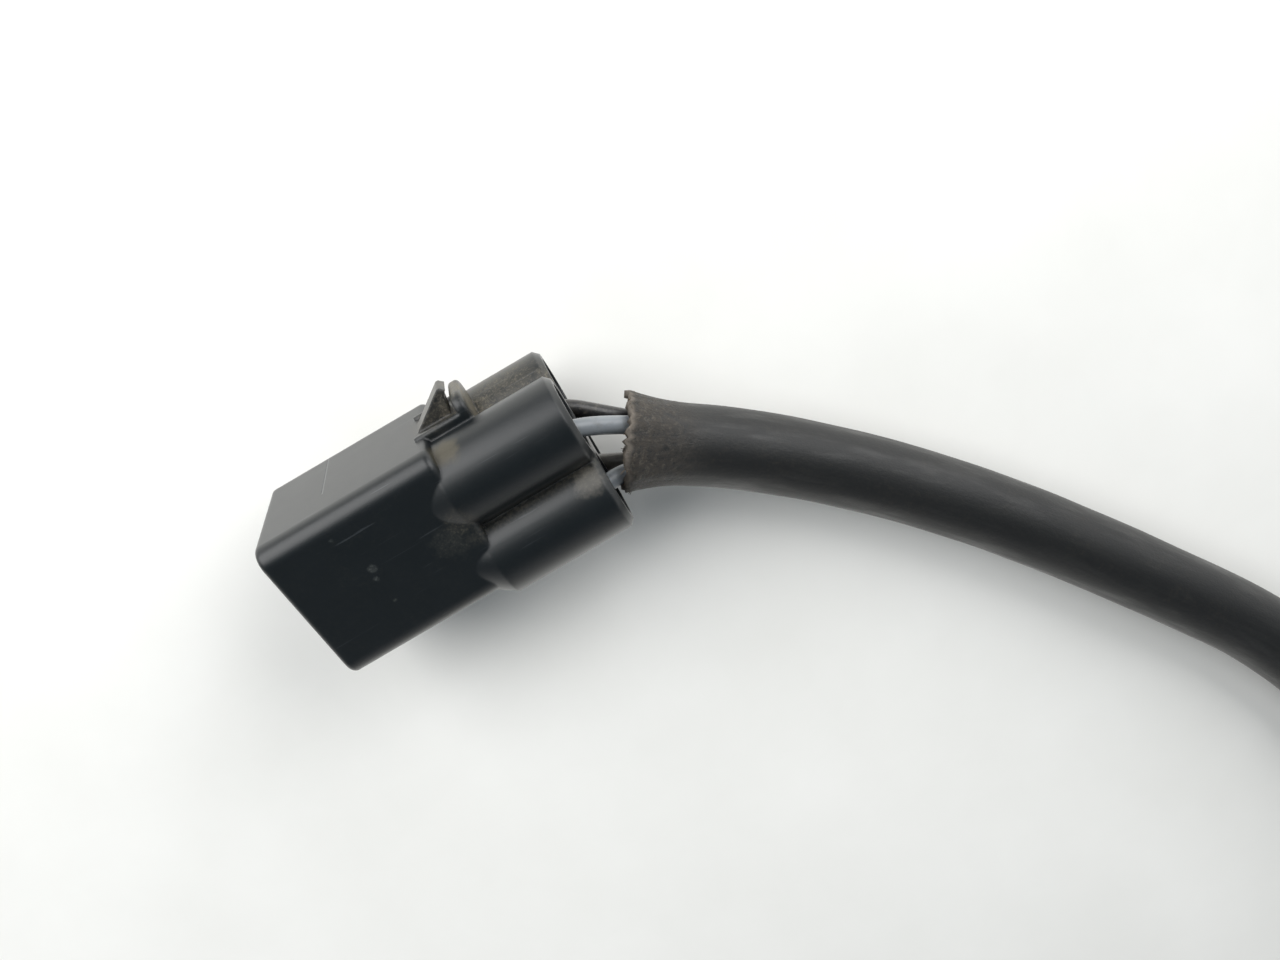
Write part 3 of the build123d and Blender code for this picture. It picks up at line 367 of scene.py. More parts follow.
def steel(name, colour, stain, roughness, rings_per_mm=6.0, ring_depth=0.000004,
          stain_share=0.6):
    """Turned or drawn steel, with rings, dull patches and brighter edges."""
    graph, shader, place = new_material(name)
    rings = graph.use("Turned rings", {"Place": place["Place"], "Rings per mm": rings_per_mm,
                                       "Depth": ring_depth})
    dull = graph.math("MULTIPLY", graph.ease(rings["Value"], 0.35, 0.7), stain_share)
    edge = graph.use("Worn edges", {"Place": place["Place"], "Width": 0.00025, "Amount": 0.7})
    base = graph.mix(dull, colour, stain)
    base = graph.mix(edge["Mask"], base, BRIGHT_EDGE)
    scratch = graph.use("Scratches", {"Place": place["Place"], "Amount": 0.25})
    rough = graph.math("ADD", graph.math("MULTIPLY", dull, 0.25),
                       graph.math("ADD", roughness, graph.math("MULTIPLY", scratch["Mask"], 0.3)))
    graph.fill(shader, {"Base Color": base, "Metallic": 1.0, "Roughness": rough,
                        "Normal": rings["Normal"]})


def heated_steel(name):
    """Drawn stainless that the exhaust has tinted, straw near the thread and blue-grey
    at the tip, with a thin film of soot."""
    graph, shader, place = new_material(name)
    along = graph.add("ShaderNodeSeparateXYZ", {0: place["Place"]}).outputs["X"]
    wander = graph.math("MULTIPLY", graph.noise(place["Place"], 0.3, 3.0), 6.0)
    heat = graph.math("ADD", along, wander)
    tint = PLAIN_STAINLESS
    for start, full, colour in HEAT_TINTS:
        tint = graph.mix(graph.ease(heat, start, full), tint, colour)
    soot = graph.use("Settled dust", {"Place": place["Place"], "Up": 1.0, "Amount": 0.9,
                                      "Specks per mm": 1.2})
    rings = graph.use("Turned rings", {"Place": place["Place"], "Rings per mm": 2.5,
                                       "Depth": 0.000006})
    graph.fill(shader, {
        "Base Color": graph.mix(soot["Mask"], tint, SOOT), "Metallic": 0.95,
        "Roughness": graph.math("ADD", graph.math("MULTIPLY", soot["Mask"], 0.35), 0.34),
        "Normal": rings["Normal"]})


def moulded(name, colour, roughness, dust_amount=0.3, dust=DUST, grains_per_mm=5.0,
            depth=0.000008):
    """Plain rubber, plastic or ceramic, with its fine skin and a little dust."""
    graph, shader, place = new_material(name)
    grain = graph.use("Fine grain", {"Place": place["Place"], "Grains per mm": grains_per_mm,
                                     "Depth": depth})
    film = graph.use("Settled dust", {"Place": place["Place"], "Up": place["Up"],
                                      "Amount": dust_amount})
    light = [min(1.0, part * LIGHT_GRAIN) for part in colour[:3]]
    shade = graph.mix(graph.ease(grain["Value"], 0.3, 0.75), colour, (*light, 1.0))
    rough = graph.math("ADD", graph.math("MULTIPLY", film["Mask"], 0.4),
                       graph.math("ADD", roughness, graph.math("MULTIPLY", grain["Value"], 0.08)))
    graph.fill(shader, {"Base Color": graph.mix(film["Mask"], shade, dust), "Roughness": rough,
                        "Normal": grain["Normal"]})


PLUG_EDGE = linear(78, 80, 82)
PLUG_SCRATCH = linear(84, 88, 92)
PLUG_DUST = linear(112, 106, 92)
PALE_GRIT = linear(138, 130, 112)
NICK = linear(128, 132, 128)
# The marks on the plug, with distances in its own millimetres along, away and under:
# each one's centre, radius, how ragged and how gritty it is, its colour and strength.
PLUG_MARKS = {
    "tan stain by the latch":
        ((20.7, -7.3, -6.6), 2.1, 2.0, 0.15, linear(118, 108, 84), 0.27),
    "whitish patch on the lower barrel":
        ((31.2, 2.6, -8.0), 2.0, 2.4, 0.25, linear(138, 132, 120), 0.26),
    "dust on the far barrel":
        ((27.5, -7.4, 2.0), 6.5, 4.0, 1.0, linear(124, 116, 98), 0.24),
    "grit round the stop": ((24.2, -8.4, 0.0), 3.6, 2.0, 1.0, PALE_GRIT, 0.52),
    "thin dust on the latch":
        ((20.8, -10.4, 0.0), 5.0, 1.5, 1.0, linear(128, 120, 106), 0.22),
    "grit on the far barrel's rim": ((33.4, -7.0, 0.0), 2.6, 2.0, 1.0, PALE_GRIT, 0.36),
    "nick on the upper side": ((8.7, -1.2, -8.5), 0.50, 1.1, 0.9, NICK, 0.16),
    "second nick": ((8.3, -0.2, -8.5), 0.34, 0.8, 0.9, NICK, 0.16),
    "third nick": ((7.2, -6.0, -8.3), 0.36, 0.8, 0.9, NICK, 0.12),
    "fourth nick": ((8.4, 2.9, -8.5), 0.36, 0.8, 0.9, linear(120, 124, 116), 0.12),
    "pitted corner by the shoulders":
        ((16.6, 0.4, -8.5), 2.6, 3.4, 1.0, linear(122, 120, 108), 0.08),
    "tan smear on the shoulder":
        ((18.6, -1.2, -8.2), 2.4, 3.0, 1.0, linear(112, 104, 86), 0.14),
}
# The mould line round the latch's face: its place along the plug, its half width from
# full to none, where that face is, and where the line ends toward the upper side.
MOULD_LINE_ALONG = 7.4
MOULD_LINE_HALF = (0.03, 0.14)
MOULD_LINE_DEPTH = 0.00006
# Painted shading: a lighter grey along the mould line stands in for its shallow groove, which the
# bump barely shows.
MOULD_LINE_PAINTED_SHADING = linear(84, 86, 88)
LATCH_FACE = (-8.2, -8.0)
MOULD_LINE_END = (-2.6, -2.2)
# The dusty groove between the barrels: its middle, its half width and where it starts.
GROOVE_AWAY = 1.5
GROOVE_HALF = (0.1, 1.3)
GROOVE_START = (17.0, 19.5)
PLUG_ROUNDING = 0.0004


def plug_plastic(settings):
    """Black satin moulding: its mould line with painted shading, dust in its grooves, its stains.
    """
    graph, shader, place = new_material("plug_plastic")
    spot = place["Place"]
    split = graph.add("ShaderNodeSeparateXYZ", {0: spot}).outputs
    grain = graph.use("Fine grain", {"Place": spot, "Grains per mm": 6.0, "Depth": 0.000004})
    base = graph.mix(grain["Value"], settings.plug_dark, settings.plug_light)
    edge = graph.use("Worn edges", {"Place": spot, "Width": 0.0005, "Amount": 0.35})
    base = graph.mix(edge["Mask"], base, PLUG_EDGE)
    scratch = graph.use("Scratches", {"Place": spot, "Amount": 0.22})
    base = graph.mix(scratch["Mask"], base, PLUG_SCRATCH)
    # Dust lies in the groove between the barrels and thinly everywhere else.
    film = graph.use("Settled dust", {"Place": spot, "Up": place["Up"],
                                      "Amount": settings.plug_dust})
    from_groove = graph.math("ABSOLUTE", graph.math("SUBTRACT", split["Y"], GROOVE_AWAY))
    groove = graph.math("MULTIPLY", graph.ease(from_groove, *GROOVE_HALF, 1.0, 0.0),
                        graph.ease(split["X"], *GROOVE_START))
    speckle = graph.ease(graph.noise(spot, 3.0, 5.0, 0.8), 0.4, 0.62)
    groove = graph.math("MULTIPLY", graph.math("MULTIPLY", groove, speckle), 0.20)
    dusty = graph.math("MAXIMUM", groove, film["Mask"])
    base = graph.mix(dusty, base, PLUG_DUST)
    # Grit breaks the marks into specks, coarse ones first.
    grit = graph.math("ADD", graph.ease(graph.noise(spot, 1.2, 3.0), 0.3, 0.6, 0.15, 0.55),
                      graph.ease(graph.noise(spot, 4.0, 3.0, 0.7), 0.50, 0.62, 0.0, 0.9))
    for centre, radius, ragged, gritty, colour, strength in PLUG_MARKS.values():
        mark = graph.use("Spot", {"Place": spot, "Centre": centre, "Radius": radius,
                                  "Ragged": ragged})
        broken = graph.math("MULTIPLY_ADD", grit, gritty, 1.0 - gritty)
        share = graph.math("MULTIPLY", graph.math("MULTIPLY", mark["Mask"], strength), broken)
        base = graph.mix(share, base, colour)
        dusty = graph.math("MAXIMUM", dusty, share)
    from_line = graph.math("ABSOLUTE", graph.math("SUBTRACT", split["X"], MOULD_LINE_ALONG))
    line = graph.ease(from_line, *MOULD_LINE_HALF, 1.0, 0.0)
    line = graph.math("MULTIPLY", line, graph.ease(split["Y"], *LATCH_FACE, 1.0, 0.0))
    line = graph.math("MULTIPLY", line, graph.ease(split["Z"], *MOULD_LINE_END))
    # The mould line's painted shading: a lighter grey that stands in for how its groove shows in
    # the light.
    base = graph.mix(graph.math("MULTIPLY", line, 0.5), base, MOULD_LINE_PAINTED_SHADING)
    rounded = graph.add("ShaderNodeBevel", {"Radius": PLUG_ROUNDING, "Normal": grain["Normal"]},
                        samples=6).outputs[0]
    rough = graph.math("ADD", graph.math("MULTIPLY", dusty, 0.45),
                       graph.math("ADD", 0.34, graph.math("MULTIPLY", grain["Value"], 0.08)))
    graph.fill(shader, {"Base Color": base, "Roughness": rough,
                        "Normal": graph.bump(line, -MOULD_LINE_DEPTH, rounded)})


LONG_MARK = linear(76, 75, 72)
SLEEVE_DUST = linear(120, 108, 90)
SCUFF = linear(90, 81, 70)
FLECK = linear(118, 110, 98)
CUT_RIM = linear(134, 125, 114)
# How far the scuffs, the flecks and the bare rim reach from the cut end, from full to none.
SCUFF_REACH = (0.5, 9.0)
FLECK_REACH = (0.8, 8.0)
RIM_REACH = (0.1, 0.7)
STREAKS_AROUND = 22.0
THREADS_AROUND = 95.0


def sleeving_rubber(settings):
    """Rubber coated fibre: charcoal, brown with dust on top and scuffed at its cut end.

    The tube's map gives the share round it and the distance from its cut end."""
    graph, shader, place = new_material("sleeving_rubber")
    spot = place["Place"]
    mapped = graph.add("ShaderNodeSeparateXYZ",
                       {0: graph.add("ShaderNodeUVMap", uv_map="tube").outputs[0]}).outputs
    from_end = mapped["Y"]
    grain = graph.use("Fine grain", {"Place": spot, "Grains per mm": 3.0, "Depth": 0.00002})
    base = graph.mix(grain["Value"], settings.sleeve_dark, settings.sleeve_light)
    streaks = graph.add("ShaderNodeCombineXYZ", {
        "X": graph.math("MULTIPLY", mapped["X"], STREAKS_AROUND),
        "Y": graph.math("MULTIPLY", from_end, 0.12)}).outputs[0]
    long_marks = graph.ease(graph.noise(streaks, 1.0, 3.0), 0.45, 0.70)
    base = graph.mix(graph.math("MULTIPLY", long_marks, 0.10), base, LONG_MARK)
    film = graph.use("Settled dust", {"Place": spot, "Up": place["Up"],
                                      "Amount": settings.sleeve_dust, "Specks per mm": 1.8})
    base = graph.mix(film["Mask"], base, SLEEVE_DUST)
    scuff = graph.math("MULTIPLY", graph.ease(from_end, *SCUFF_REACH, 1.0, 0.0),
                       graph.ease(graph.noise(spot, 1.3, 5.0, 0.75), 0.32, 0.62))
    base = graph.mix(graph.math("MULTIPLY", scuff, 0.34), base, SCUFF)
    flecks = graph.math("MULTIPLY", graph.ease(graph.noise(spot, 1.7, 6.0, 0.8), 0.50, 0.64),
                        graph.ease(from_end, *FLECK_REACH, 1.0, 0.0))
    base = graph.mix(graph.math("MULTIPLY", flecks, 0.30), base, FLECK)
    rim = graph.ease(graph.math("ADD", from_end, graph.math("MULTIPLY", flecks, 0.3)),
                     *RIM_REACH, 1.0, 0.0)
    base = graph.mix(graph.math("MULTIPLY", rim, 0.5), base, CUT_RIM)
    # The fibre's threads show through where the rubber is scuffed.
    woven = graph.add("ShaderNodeCombineXYZ", {
        "X": graph.math("MULTIPLY", mapped["X"], THREADS_AROUND), "Y": from_end}).outputs[0]
    threads = graph.noise(woven, 1.6, 3.0)
    skin = graph.math("MULTIPLY", graph.math("ADD", scuff, 0.12), threads)
    rough = graph.math("ADD", graph.math("MULTIPLY", graph.math("ADD", film["Mask"], scuff), 0.2),
                       graph.math("SUBTRACT", 0.55, graph.math("MULTIPLY", long_marks, 0.10)))
    graph.fill(shader, {"Base Color": base, "Roughness": rough,
                        "Normal": graph.bump(skin, 0.00012, grain["Normal"])})


WIRE_GRIME = linear(72, 66, 60)
WIRE_DUST = linear(140, 132, 118)


def wire_insulation(name, colour):
    """Satin insulation with a few dusty and dark marks along it."""
    graph, shader, place = new_material(name)
    grain = graph.use("Fine grain", {"Place": place["Place"], "Grains per mm": 1.5,
                                     "Depth": 0.000006})
    grime = graph.ease(graph.noise(place["Place"], 0.9, 4.0), 0.45, 0.75)
    base = graph.mix(graph.math("MULTIPLY", grime, 0.35), colour, WIRE_GRIME)
    film = graph.use("Settled dust", {"Place": place["Place"], "Up": place["Up"],
                                      "Amount": 0.25})
    base = graph.mix(film["Mask"], base, WIRE_DUST)
    rough = graph.math("ADD", graph.math("MULTIPLY", grain["Value"], 0.12), 0.30)
    graph.fill(shader, {"Base Color": base, "Roughness": rough, "Normal": grain["Normal"]})


def make_materials(settings):
    """Every finish, named after the record's material slots."""
    steel("shell_steel", settings.shell_colour, linear(132, 126, 116), 0.30)
    steel("gasket_steel", linear(198, 198, 194), linear(150, 148, 142), 0.24, rings_per_mm=3.0)
    heated_steel("shield_steel")
    moulded("zirconia", linear(226, 222, 210), 0.55, 0.2, linear(120, 112, 100))
    steel("washer_nickel", linear(188, 184, 174), linear(146, 140, 128), 0.32)
    moulded("talc", linear(214, 211, 202), 0.85, 0.1, grains_per_mm=9.0, depth=0.00002)
    moulded("alumina", linear(236, 234, 228), 0.60, 0.2, grains_per_mm=7.0)
    moulded("heater_alumina", linear(232, 232, 230), 0.45, 0.15)
    steel("contact_steel", linear(204, 200, 190), linear(168, 160, 146), 0.26, rings_per_mm=2.0,
          stain_share=0.4)
    steel("cover_steel", settings.cover_colour, linear(138, 130, 118), 0.28, rings_per_mm=1.6,
          ring_depth=0.000003)
    moulded("filter_membrane", linear(228, 226, 220), 0.75, 0.4)
    moulded("grommet_rubber", settings.grommet_colour, 0.55, 0.35)
    moulded("cut_fibre", settings.fibre_colour, 0.9, 0.3)
    plug_plastic(settings)
    moulded("retainer_plastic", linear(92, 94, 96), 0.42, 0.2)
    steel("terminal_tin", linear(208, 206, 200), linear(176, 172, 164), 0.24, rings_per_mm=1.0,
          stain_share=0.4)
    moulded("seal_rubber", settings.seal_colour, 0.50, 0.2)
    wire_insulation("wire_black", settings.wire_black)
    wire_insulation("wire_grey", settings.wire_grey)
    wire_insulation("wire_white", settings.wire_white)
    sleeving_rubber(settings)


def finish_of(slot):
    """The finish that was made for a slot, named after it."""
    return bpy.data.materials[FINISH + slot]


def slots_of_nodes():
    """Each CAD node's material slot, from the record."""
    return {part["node"]: part["material_slot"] for part in frame["record"]["subparts"]}


# ------------------------------------------------------------------------ geometry
ROUTE_RESOLUTION = 16          # points of a curve between two of its route's


def new_piece(name, mesh, slot, replaced):
    """A piece made of a mesh, with its slot's finish, in place of CAD nodes."""
    mesh.name = name
    piece = bpy.data.objects.new(name, mesh)
    bpy.context.scene.collection.objects.link(piece)
    dress_piece(piece, slot, replaced)
    return piece


def dress_piece(piece, slot, replaced):
    """A slot's finish for a piece that takes the place of CAD nodes."""
    piece.data.materials.clear()
    piece.data.materials.append(finish_of(slot))
    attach(piece, BODY)
    if replaced:
        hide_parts(*replaced)


def add_spline(data, points):
    """A smooth spline of a curve, drawn by points in metres and reaching both ends."""
    spline = data.splines.new("NURBS")
    spline.points.add(len(points) - 1)
    for control, point in zip(spline.points, points):
        control.co = (*point, 1.0)
    spline.order_u = 3
    spline.use_endpoint_u = True


def new_curve(name):
    """A curve object in the scene, still without a spline."""
    data = bpy.data.curves.new(name, "CURVE")
    data.dimensions = "3D"
    curve = bpy.data.objects.new(name, data)
    bpy.context.scene.collection.objects.link(curve)
    return curve


def route_curve(name, points):
    """The curve object of a cord's route."""
    curve = new_curve(name)
    curve.data.resolution_u = ROUTE_RESOLUTION
    add_spline(curve.data, [Vector(point) * MM for point in points])
    return curve


def mesh_of(curve):
    """The mesh that a curve makes. The curve is removed."""
    bpy.context.view_layer.update()
    mesh = bpy.data.meshes.new_from_object(curve.evaluated_get(
        bpy.context.evaluated_depsgraph_get()))
    bpy.data.objects.remove(curve)
    return mesh


def route_places(name, points):
    """The points read along a cord's route."""
    mesh = mesh_of(route_curve(name, points))
    places = [vertex.co.copy() for vertex in mesh.vertices]
    bpy.data.meshes.remove(mesh)
    return places


def evenly(places, step):
    """Points a step apart along a line of points, with both ends kept."""
    kept = [places[0]]
    for place in places[1:]:
        if (place - kept[-1]).length >= step:
            kept.append(place)
    kept[-1] = places[-1]
    return kept


def running_frames(places):
    """A centre, a side, an up and a run for each place, turning as little as they can."""
    frames = []
    up = Vector((0, 0, 1))
    for index, place in enumerate(places):
        run = (places[min(index + 1, len(places) - 1)] - places[max(index - 1, 0)]).normalized()
        side = run.cross(up).normalized()
        up = side.cross(run).normalized()
        frames.append((place, side, up, run))
    return frames


def tube_mesh(name, rings, around):
    """A mesh through rings of points, with a map of the share round it and of each
    ring's own mark."""
    mesh = bpy.data.meshes.new(name)
    net = bmesh.new()
    rows = [[net.verts.new(point) for point in points] for points, _ in rings]
    layer = net.loops.layers.uv.new("tube")
    for row in range(len(rows) - 1):
        for column in range(around):
            after = (column + 1) % around
            corners = ((row, column), (row, after), (row + 1, after), (row + 1, column))
            face = net.faces.new([rows[r][c] for r, c in corners])
            face.smooth = True
            for loop, (r, c) in zip(face.loops, corners):
                share = (column + 1 if c == after else column) / around
                loop[layer].uv = (share, rings[r][1])
    bmesh.ops.recalc_face_normals(net, faces=net.faces)
    net.to_mesh(mesh)
    net.free()
    return mesh


# ------------------------------------------------------------------------ settings
class SensorSettings(bpy.types.PropertyGroup):
    """What may be changed before the pieces are built"""
    sleeve_around: bpy.props.IntProperty(
        name="Sleeve sides", description="Faces round the sleeving", default=72, min=24, max=128)
    flare_radius: bpy.props.FloatProperty(
        name="Flare radius", description="Radius to which the sleeving opens at its cut end",
        default=5.5 * MM, min=4.6 * MM, max=8 * MM, precision=5, unit="LENGTH")
    flare_length: bpy.props.FloatProperty(
        name="Flare length", description="Length over which the sleeving opens",
        default=7 * MM, min=1 * MM, max=20 * MM, precision=5, unit="LENGTH")
    fray_depth: bpy.props.FloatProperty(
        name="Fray depth", description="How deep the notches in the cut rim are",
        default=0.9 * MM, min=0.0, max=2 * MM, precision=5, unit="LENGTH")
    cut_slant: bpy.props.FloatProperty(
        name="Cut slant", description="How far the cut leans from square, above and below",
        default=2.1 * MM, min=0.0, max=4 * MM, precision=5, unit="LENGTH")
    fibres: bpy.props.IntProperty(
        name="Loose fibres", description="Fibres that stand from the sleeving's cut end",
        default=70, min=0, max=300)
    thread_around: bpy.props.IntProperty(
        name="Thread sides", description="Faces round the thread", default=120, min=48, max=240)
    plug_dark: bpy.props.FloatVectorProperty(
        name="Plug, dark", description="The plug's plastic where its grain is darkest",
        default=linear(5, 10, 12), min=0.0, max=1.0, size=4, subtype="COLOR")
    plug_light: bpy.props.FloatVectorProperty(
        name="Plug, light", description="The plug's plastic where its grain is lightest",
        default=linear(11, 17, 20), min=0.0, max=1.0, size=4, subtype="COLOR")
    plug_dust: bpy.props.FloatProperty(
        name="Plug dust", description="Thin dust all over the plug",
        default=0.03, min=0.0, max=1.0, subtype="FACTOR")
    sleeve_dark: bpy.props.FloatVectorProperty(
        name="Sleeve, dark", description="The sleeving's rubber where its grain is darkest",
        default=linear(6, 7, 7), min=0.0, max=1.0, size=4, subtype="COLOR")
    sleeve_light: bpy.props.FloatVectorProperty(
        name="Sleeve, light", description="The sleeving's rubber where its grain is lightest",
        default=linear(12, 13, 13), min=0.0, max=1.0, size=4, subtype="COLOR")
    sleeve_dust: bpy.props.FloatProperty(
        name="Sleeve dust", description="Thin dust all over the sleeving",
        default=0.05, min=0.0, max=1.0, subtype="FACTOR")
    fibre_colour: bpy.props.FloatVectorProperty(
        name="Cut fibre", description="The loose fibres of the cut end",
        default=linear(112, 98, 80), min=0.0, max=1.0, size=4, subtype="COLOR")
    wire_black: bpy.props.FloatVectorProperty(
        name="Black wire", description="The black wire's insulation",
        default=linear(22, 22, 24), min=0.0, max=1.0, size=4, subtype="COLOR")
    wire_grey: bpy.props.FloatVectorProperty(
        name="Grey wire", description="The grey wire's insulation",
        default=linear(94, 91, 85), min=0.0, max=1.0, size=4, subtype="COLOR")
    wire_white: bpy.props.FloatVectorProperty(
        name="White wires", description="The two pale wires' insulation",
        default=linear(127, 132, 136), min=0.0, max=1.0, size=4, subtype="COLOR")
    shell_colour: bpy.props.FloatVectorProperty(
        name="Shell steel", description="Clean steel of the threaded shell",
        default=linear(176, 174, 168), min=0.0, max=1.0, size=4, subtype="COLOR")
    cover_colour: bpy.props.FloatVectorProperty(
        name="Cover steel", description="Clean steel of the rear covers",
        default=linear(182, 180, 174), min=0.0, max=1.0, size=4, subtype="COLOR")
    grommet_colour: bpy.props.FloatVectorProperty(
        name="Grommet", description="The grommet's rubber",
        default=linear(30, 30, 32), min=0.0, max=1.0, size=4, subtype="COLOR")
    seal_colour: bpy.props.FloatVectorProperty(
        name="Wire seals", description="The rubber of the seals in the plug",
        default=linear(52, 56, 60), min=0.0, max=1.0, size=4, subtype="COLOR")
    floor_light: bpy.props.FloatVectorProperty(
        name="Floor, light", description="The floor's lighter tone",
        default=linear(232, 231, 227), min=0.0, max=1.0, size=4, subtype="COLOR")
    floor_dark: bpy.props.FloatVectorProperty(
        name="Floor, dark", description="The floor's darker tone",
        default=linear(220, 219, 214), min=0.0, max=1.0, size=4, subtype="COLOR")
    room_light: bpy.props.FloatProperty(
        name="Room light", description="Strength of the light from the room",
        default=1.0, min=0.0, max=4.0)


# ----------------------------------------------------------------------- operators
class SENSOR_OT_materials(bpy.types.Operator):
    """Make the shared node groups and every finish, and give the CAD nodes theirs"""
    bl_idname = "sensor.materials"
    bl_label = "Finishes"

    def execute(self, context):
        for make in GROUP_MAKERS:
            make()
        make_materials(context.scene.sensor_settings)
        for node, slot in slots_of_nodes().items():
            mesh = frame["nodes"][node].data
            mesh.materials.clear()
            mesh.materials.append(finish_of(slot))
        return {"FINISHED"}


PLUG_SHARP = radians(24)       # edges that bend less than this are shaded smooth


class SENSOR_OT_plug(bpy.types.Operator):
    """Set the plug's moulding square to its own directions and shade its curves smooth"""
    bl_idname = "sensor.plug"
    bl_label = "Plug"

    def execute(self, context):
        source = frame["nodes"]["connector_housing"]
        mesh = source.data.copy()
        mesh.name = "plug_moulding"
        mesh.transform(PLUG_PLACE.inverted() @ source.matrix_world)
        piece = bpy.data.objects.new("plug_moulding", mesh)
        context.scene.collection.objects.link(piece)
        piece.matrix_world = PLUG_PLACE
        mesh.shade_smooth()
        mesh.set_sharp_from_angle(angle=PLUG_SHARP)
        dress_piece(piece, "plug_plastic", ["connector_housing"])
        return {"FINISHED"}


CUT_REACH = 6.0                # how far from the cut end its slant and notches are felt
INSIDE_SHOWN = 14.0            # how far the wall's inside goes back from the cut end
RING_STEP = 0.7                # between two rings of points
FLARE_UNEVEN = 0.28            # how high the flare's bumps are
LUMP_HEIGHT = 0.07             # and the slow ones all along the sleeving
# The cut rim's waves, from long to short: how close together and how high.
RIM_WAVES = ((2.2, 0.7), (7.0, 0.7), (17.0, 0.6))
FIBRE_RADIUS = 0.035
FIBRE_ROOT = 0.45              # how far inside the flare's radius a fibre starts
FIBRE_SUNK = 0.5               # and how far back from the rim
FIBRE_SCATTER = 0.6            # how unevenly the fibres stand round the rim
FIBRE_SHORTEST = 0.35
FIBRE_VARIES = 0.5
# Where in the noise each part of a fibre's lean is read.
LEAN_SHIFTS = (0.0, 11.3, 23.7)


def sleeve_radius(settings, from_end, angle):
    """The sleeving's outer radius that far from its cut end."""
    turn = Vector((cos(angle), sin(angle), 0.0))
    opened = max(0.0, 1.0 - from_end * MM / settings.flare_length)
    flare = (settings.flare_radius / MM - SLEEVE_RADIUS) * opened ** 2
    uneven = FLARE_UNEVEN * opened * noise.noise((turn + Vector((0, 0, 3.0))) * 1.4)
    lump = LUMP_HEIGHT * noise.noise((turn + Vector((0, 0, from_end * 0.12))) * 1.2)
    return SLEEVE_RADIUS + flare + uneven + lump


def rim_shift(settings, angle):
    """How far the slanted and ragged rim reaches at that angle, in millimetres."""
    turn = Vector((cos(angle), sin(angle), 0.0))
    ragged = sum(height * noise.noise(turn * waves) for waves, height in RIM_WAVES)
    return (settings.fray_depth * ragged + settings.cut_slant * sin(angle)) / MM


def sleeve_ring(settings, frame_at, from_end, inset=0.0):
    """Points round the sleeving at one place of its route, inset from its outside."""
    place, side, up, run = frame_at
    felt = max(0.0, 1.0 - from_end / CUT_REACH)
    points = []
    for step in range(settings.sleeve_around):
        angle = 2 * pi * step / settings.sleeve_around
        radius = sleeve_radius(settings, from_end, angle) - inset
        points.append(place + (side * cos(angle) + up * sin(angle)) * radius * MM
                      + run * felt * rim_shift(settings, angle) * MM)
    return points


class SENSOR_OT_sleeving(bpy.types.Operator):
    """Lay the sleeving on its route, with its opened and frayed cut end"""
    bl_idname = "sensor.sleeving"
    bl_label = "Sleeving"

    def execute(self, context):
        settings = context.scene.sensor_settings
        places = route_places("sleeve_route", LEAD_ROUTE)
        frames = running_frames(evenly(places, RING_STEP * MM))
        length = sum((b[0] - a[0]).length for a, b in zip(frames, frames[1:])) / MM
        travelled = 0.0
        rings = []
        for index, here in enumerate(frames):
            if index:
                travelled += (here[0] - frames[index - 1][0]).length / MM
            from_end = length - travelled
            rings.append((sleeve_ring(settings, here, from_end), from_end))
        # The wall turns over the rim and goes back inside.
        inside = [(sleeve_ring(settings, here, from_end, SLEEVE_WALL), from_end)
                  for here, (_, from_end) in zip(frames, rings) if from_end <= INSIDE_SHOWN]
        rings += reversed(inside)
        sleeve = new_piece("sleeve", tube_mesh("sleeve", rings, settings.sleeve_around),
                           "sleeving_rubber", ["sleeving"])
        fibres = self.fibres(settings, frames[-1])
        return {"FINISHED"}

    def fibres(self, settings, end):
        """Short loose fibres round the cut rim."""
        strands = new_curve("fibre_strands")
        strands.data.bevel_depth = FIBRE_RADIUS * MM
        strands.data.bevel_resolution = 1
        place, side, up, run = end
        for number in range(settings.fibres):
            chance = Vector((number * 0.77, 5.1, 0.3))
            angle = (2 * pi * number / settings.fibres
                     + FIBRE_SCATTER * noise.noise(Vector((number * 1.7, 0, 0))))
            reach = FIBRE_SHORTEST + FIBRE_VARIES * abs(noise.noise(chance))
            lean = Vector([noise.noise(chance * 1.9 + Vector((shift,) * 3))
                           for shift in LEAN_SHIFTS])
            out = side * cos(angle) + up * sin(angle)
            start = place + (out * (settings.flare_radius / MM - FIBRE_ROOT)
                             + run * (rim_shift(settings, angle) - FIBRE_SUNK)) * MM
            middle = start + (run * 0.6 * reach + out * 0.25 * reach + lean * 0.4) * MM
            finish = middle + (run * 0.3 * reach + out * 0.3 * reach + lean * 1.1 * reach) * MM
            add_spline(strands.data, (start, middle, finish))
        piece = new_piece("sleeve_fibres", mesh_of(strands), "sleeving_rubber", [])
        piece.data.materials[0] = finish_of("cut_fibre")
        return piece


def beside(points, side, up):
    """The route moved sideways and up, for one wire of the bundle."""
    moved = []
    for index, point in enumerate(points):
        before = points[max(index - 1, 0)]
        after = points[min(index + 1, len(points) - 1)]
        run = Vector((after.x - before.x, after.y - before.y, 0)).normalized()
        moved.append(point + Vector((-run.y, run.x, 0)) * side + Vector((0, 0, up)))
    return moved


def wire_route(colour):
    """A wire's points, from its crimp in the sensor to its pin in the plug."""
    (side, up), (across, toward_latch) = WIRES[colour]
    route = [Vector(point) for point in LEAD_ROUTE]
    y, z = -side * CONTACT_SPACING / 2, up * CONTACT_SPACING / 2
    away = BARREL_SHIFT - toward_latch * BARREL_PITCH / 2
    under = across * BARREL_PITCH / 2
    return [
        Vector((SEPARATOR_REAR - CRIMP_BACK, y, z)),
        Vector((GROMMET_REAR - GROMMET_STRAIGHT, y, z)),
        *beside(route[1:-1], side * BUNDLE_OFFSET, up * BUNDLE_OFFSET),
        beside(route[-2:], side * MOUTH_OFFSET, up * MOUTH_OFFSET)[-1],
        plug_point(PLUG_LENGTH - WIRE_BEND_DEPTH, away, under),
        plug_point(PIN_CRIMP_END, away, under),
    ]


WIRE_ROUNDING = 5              # steps in a quarter of a wire's section


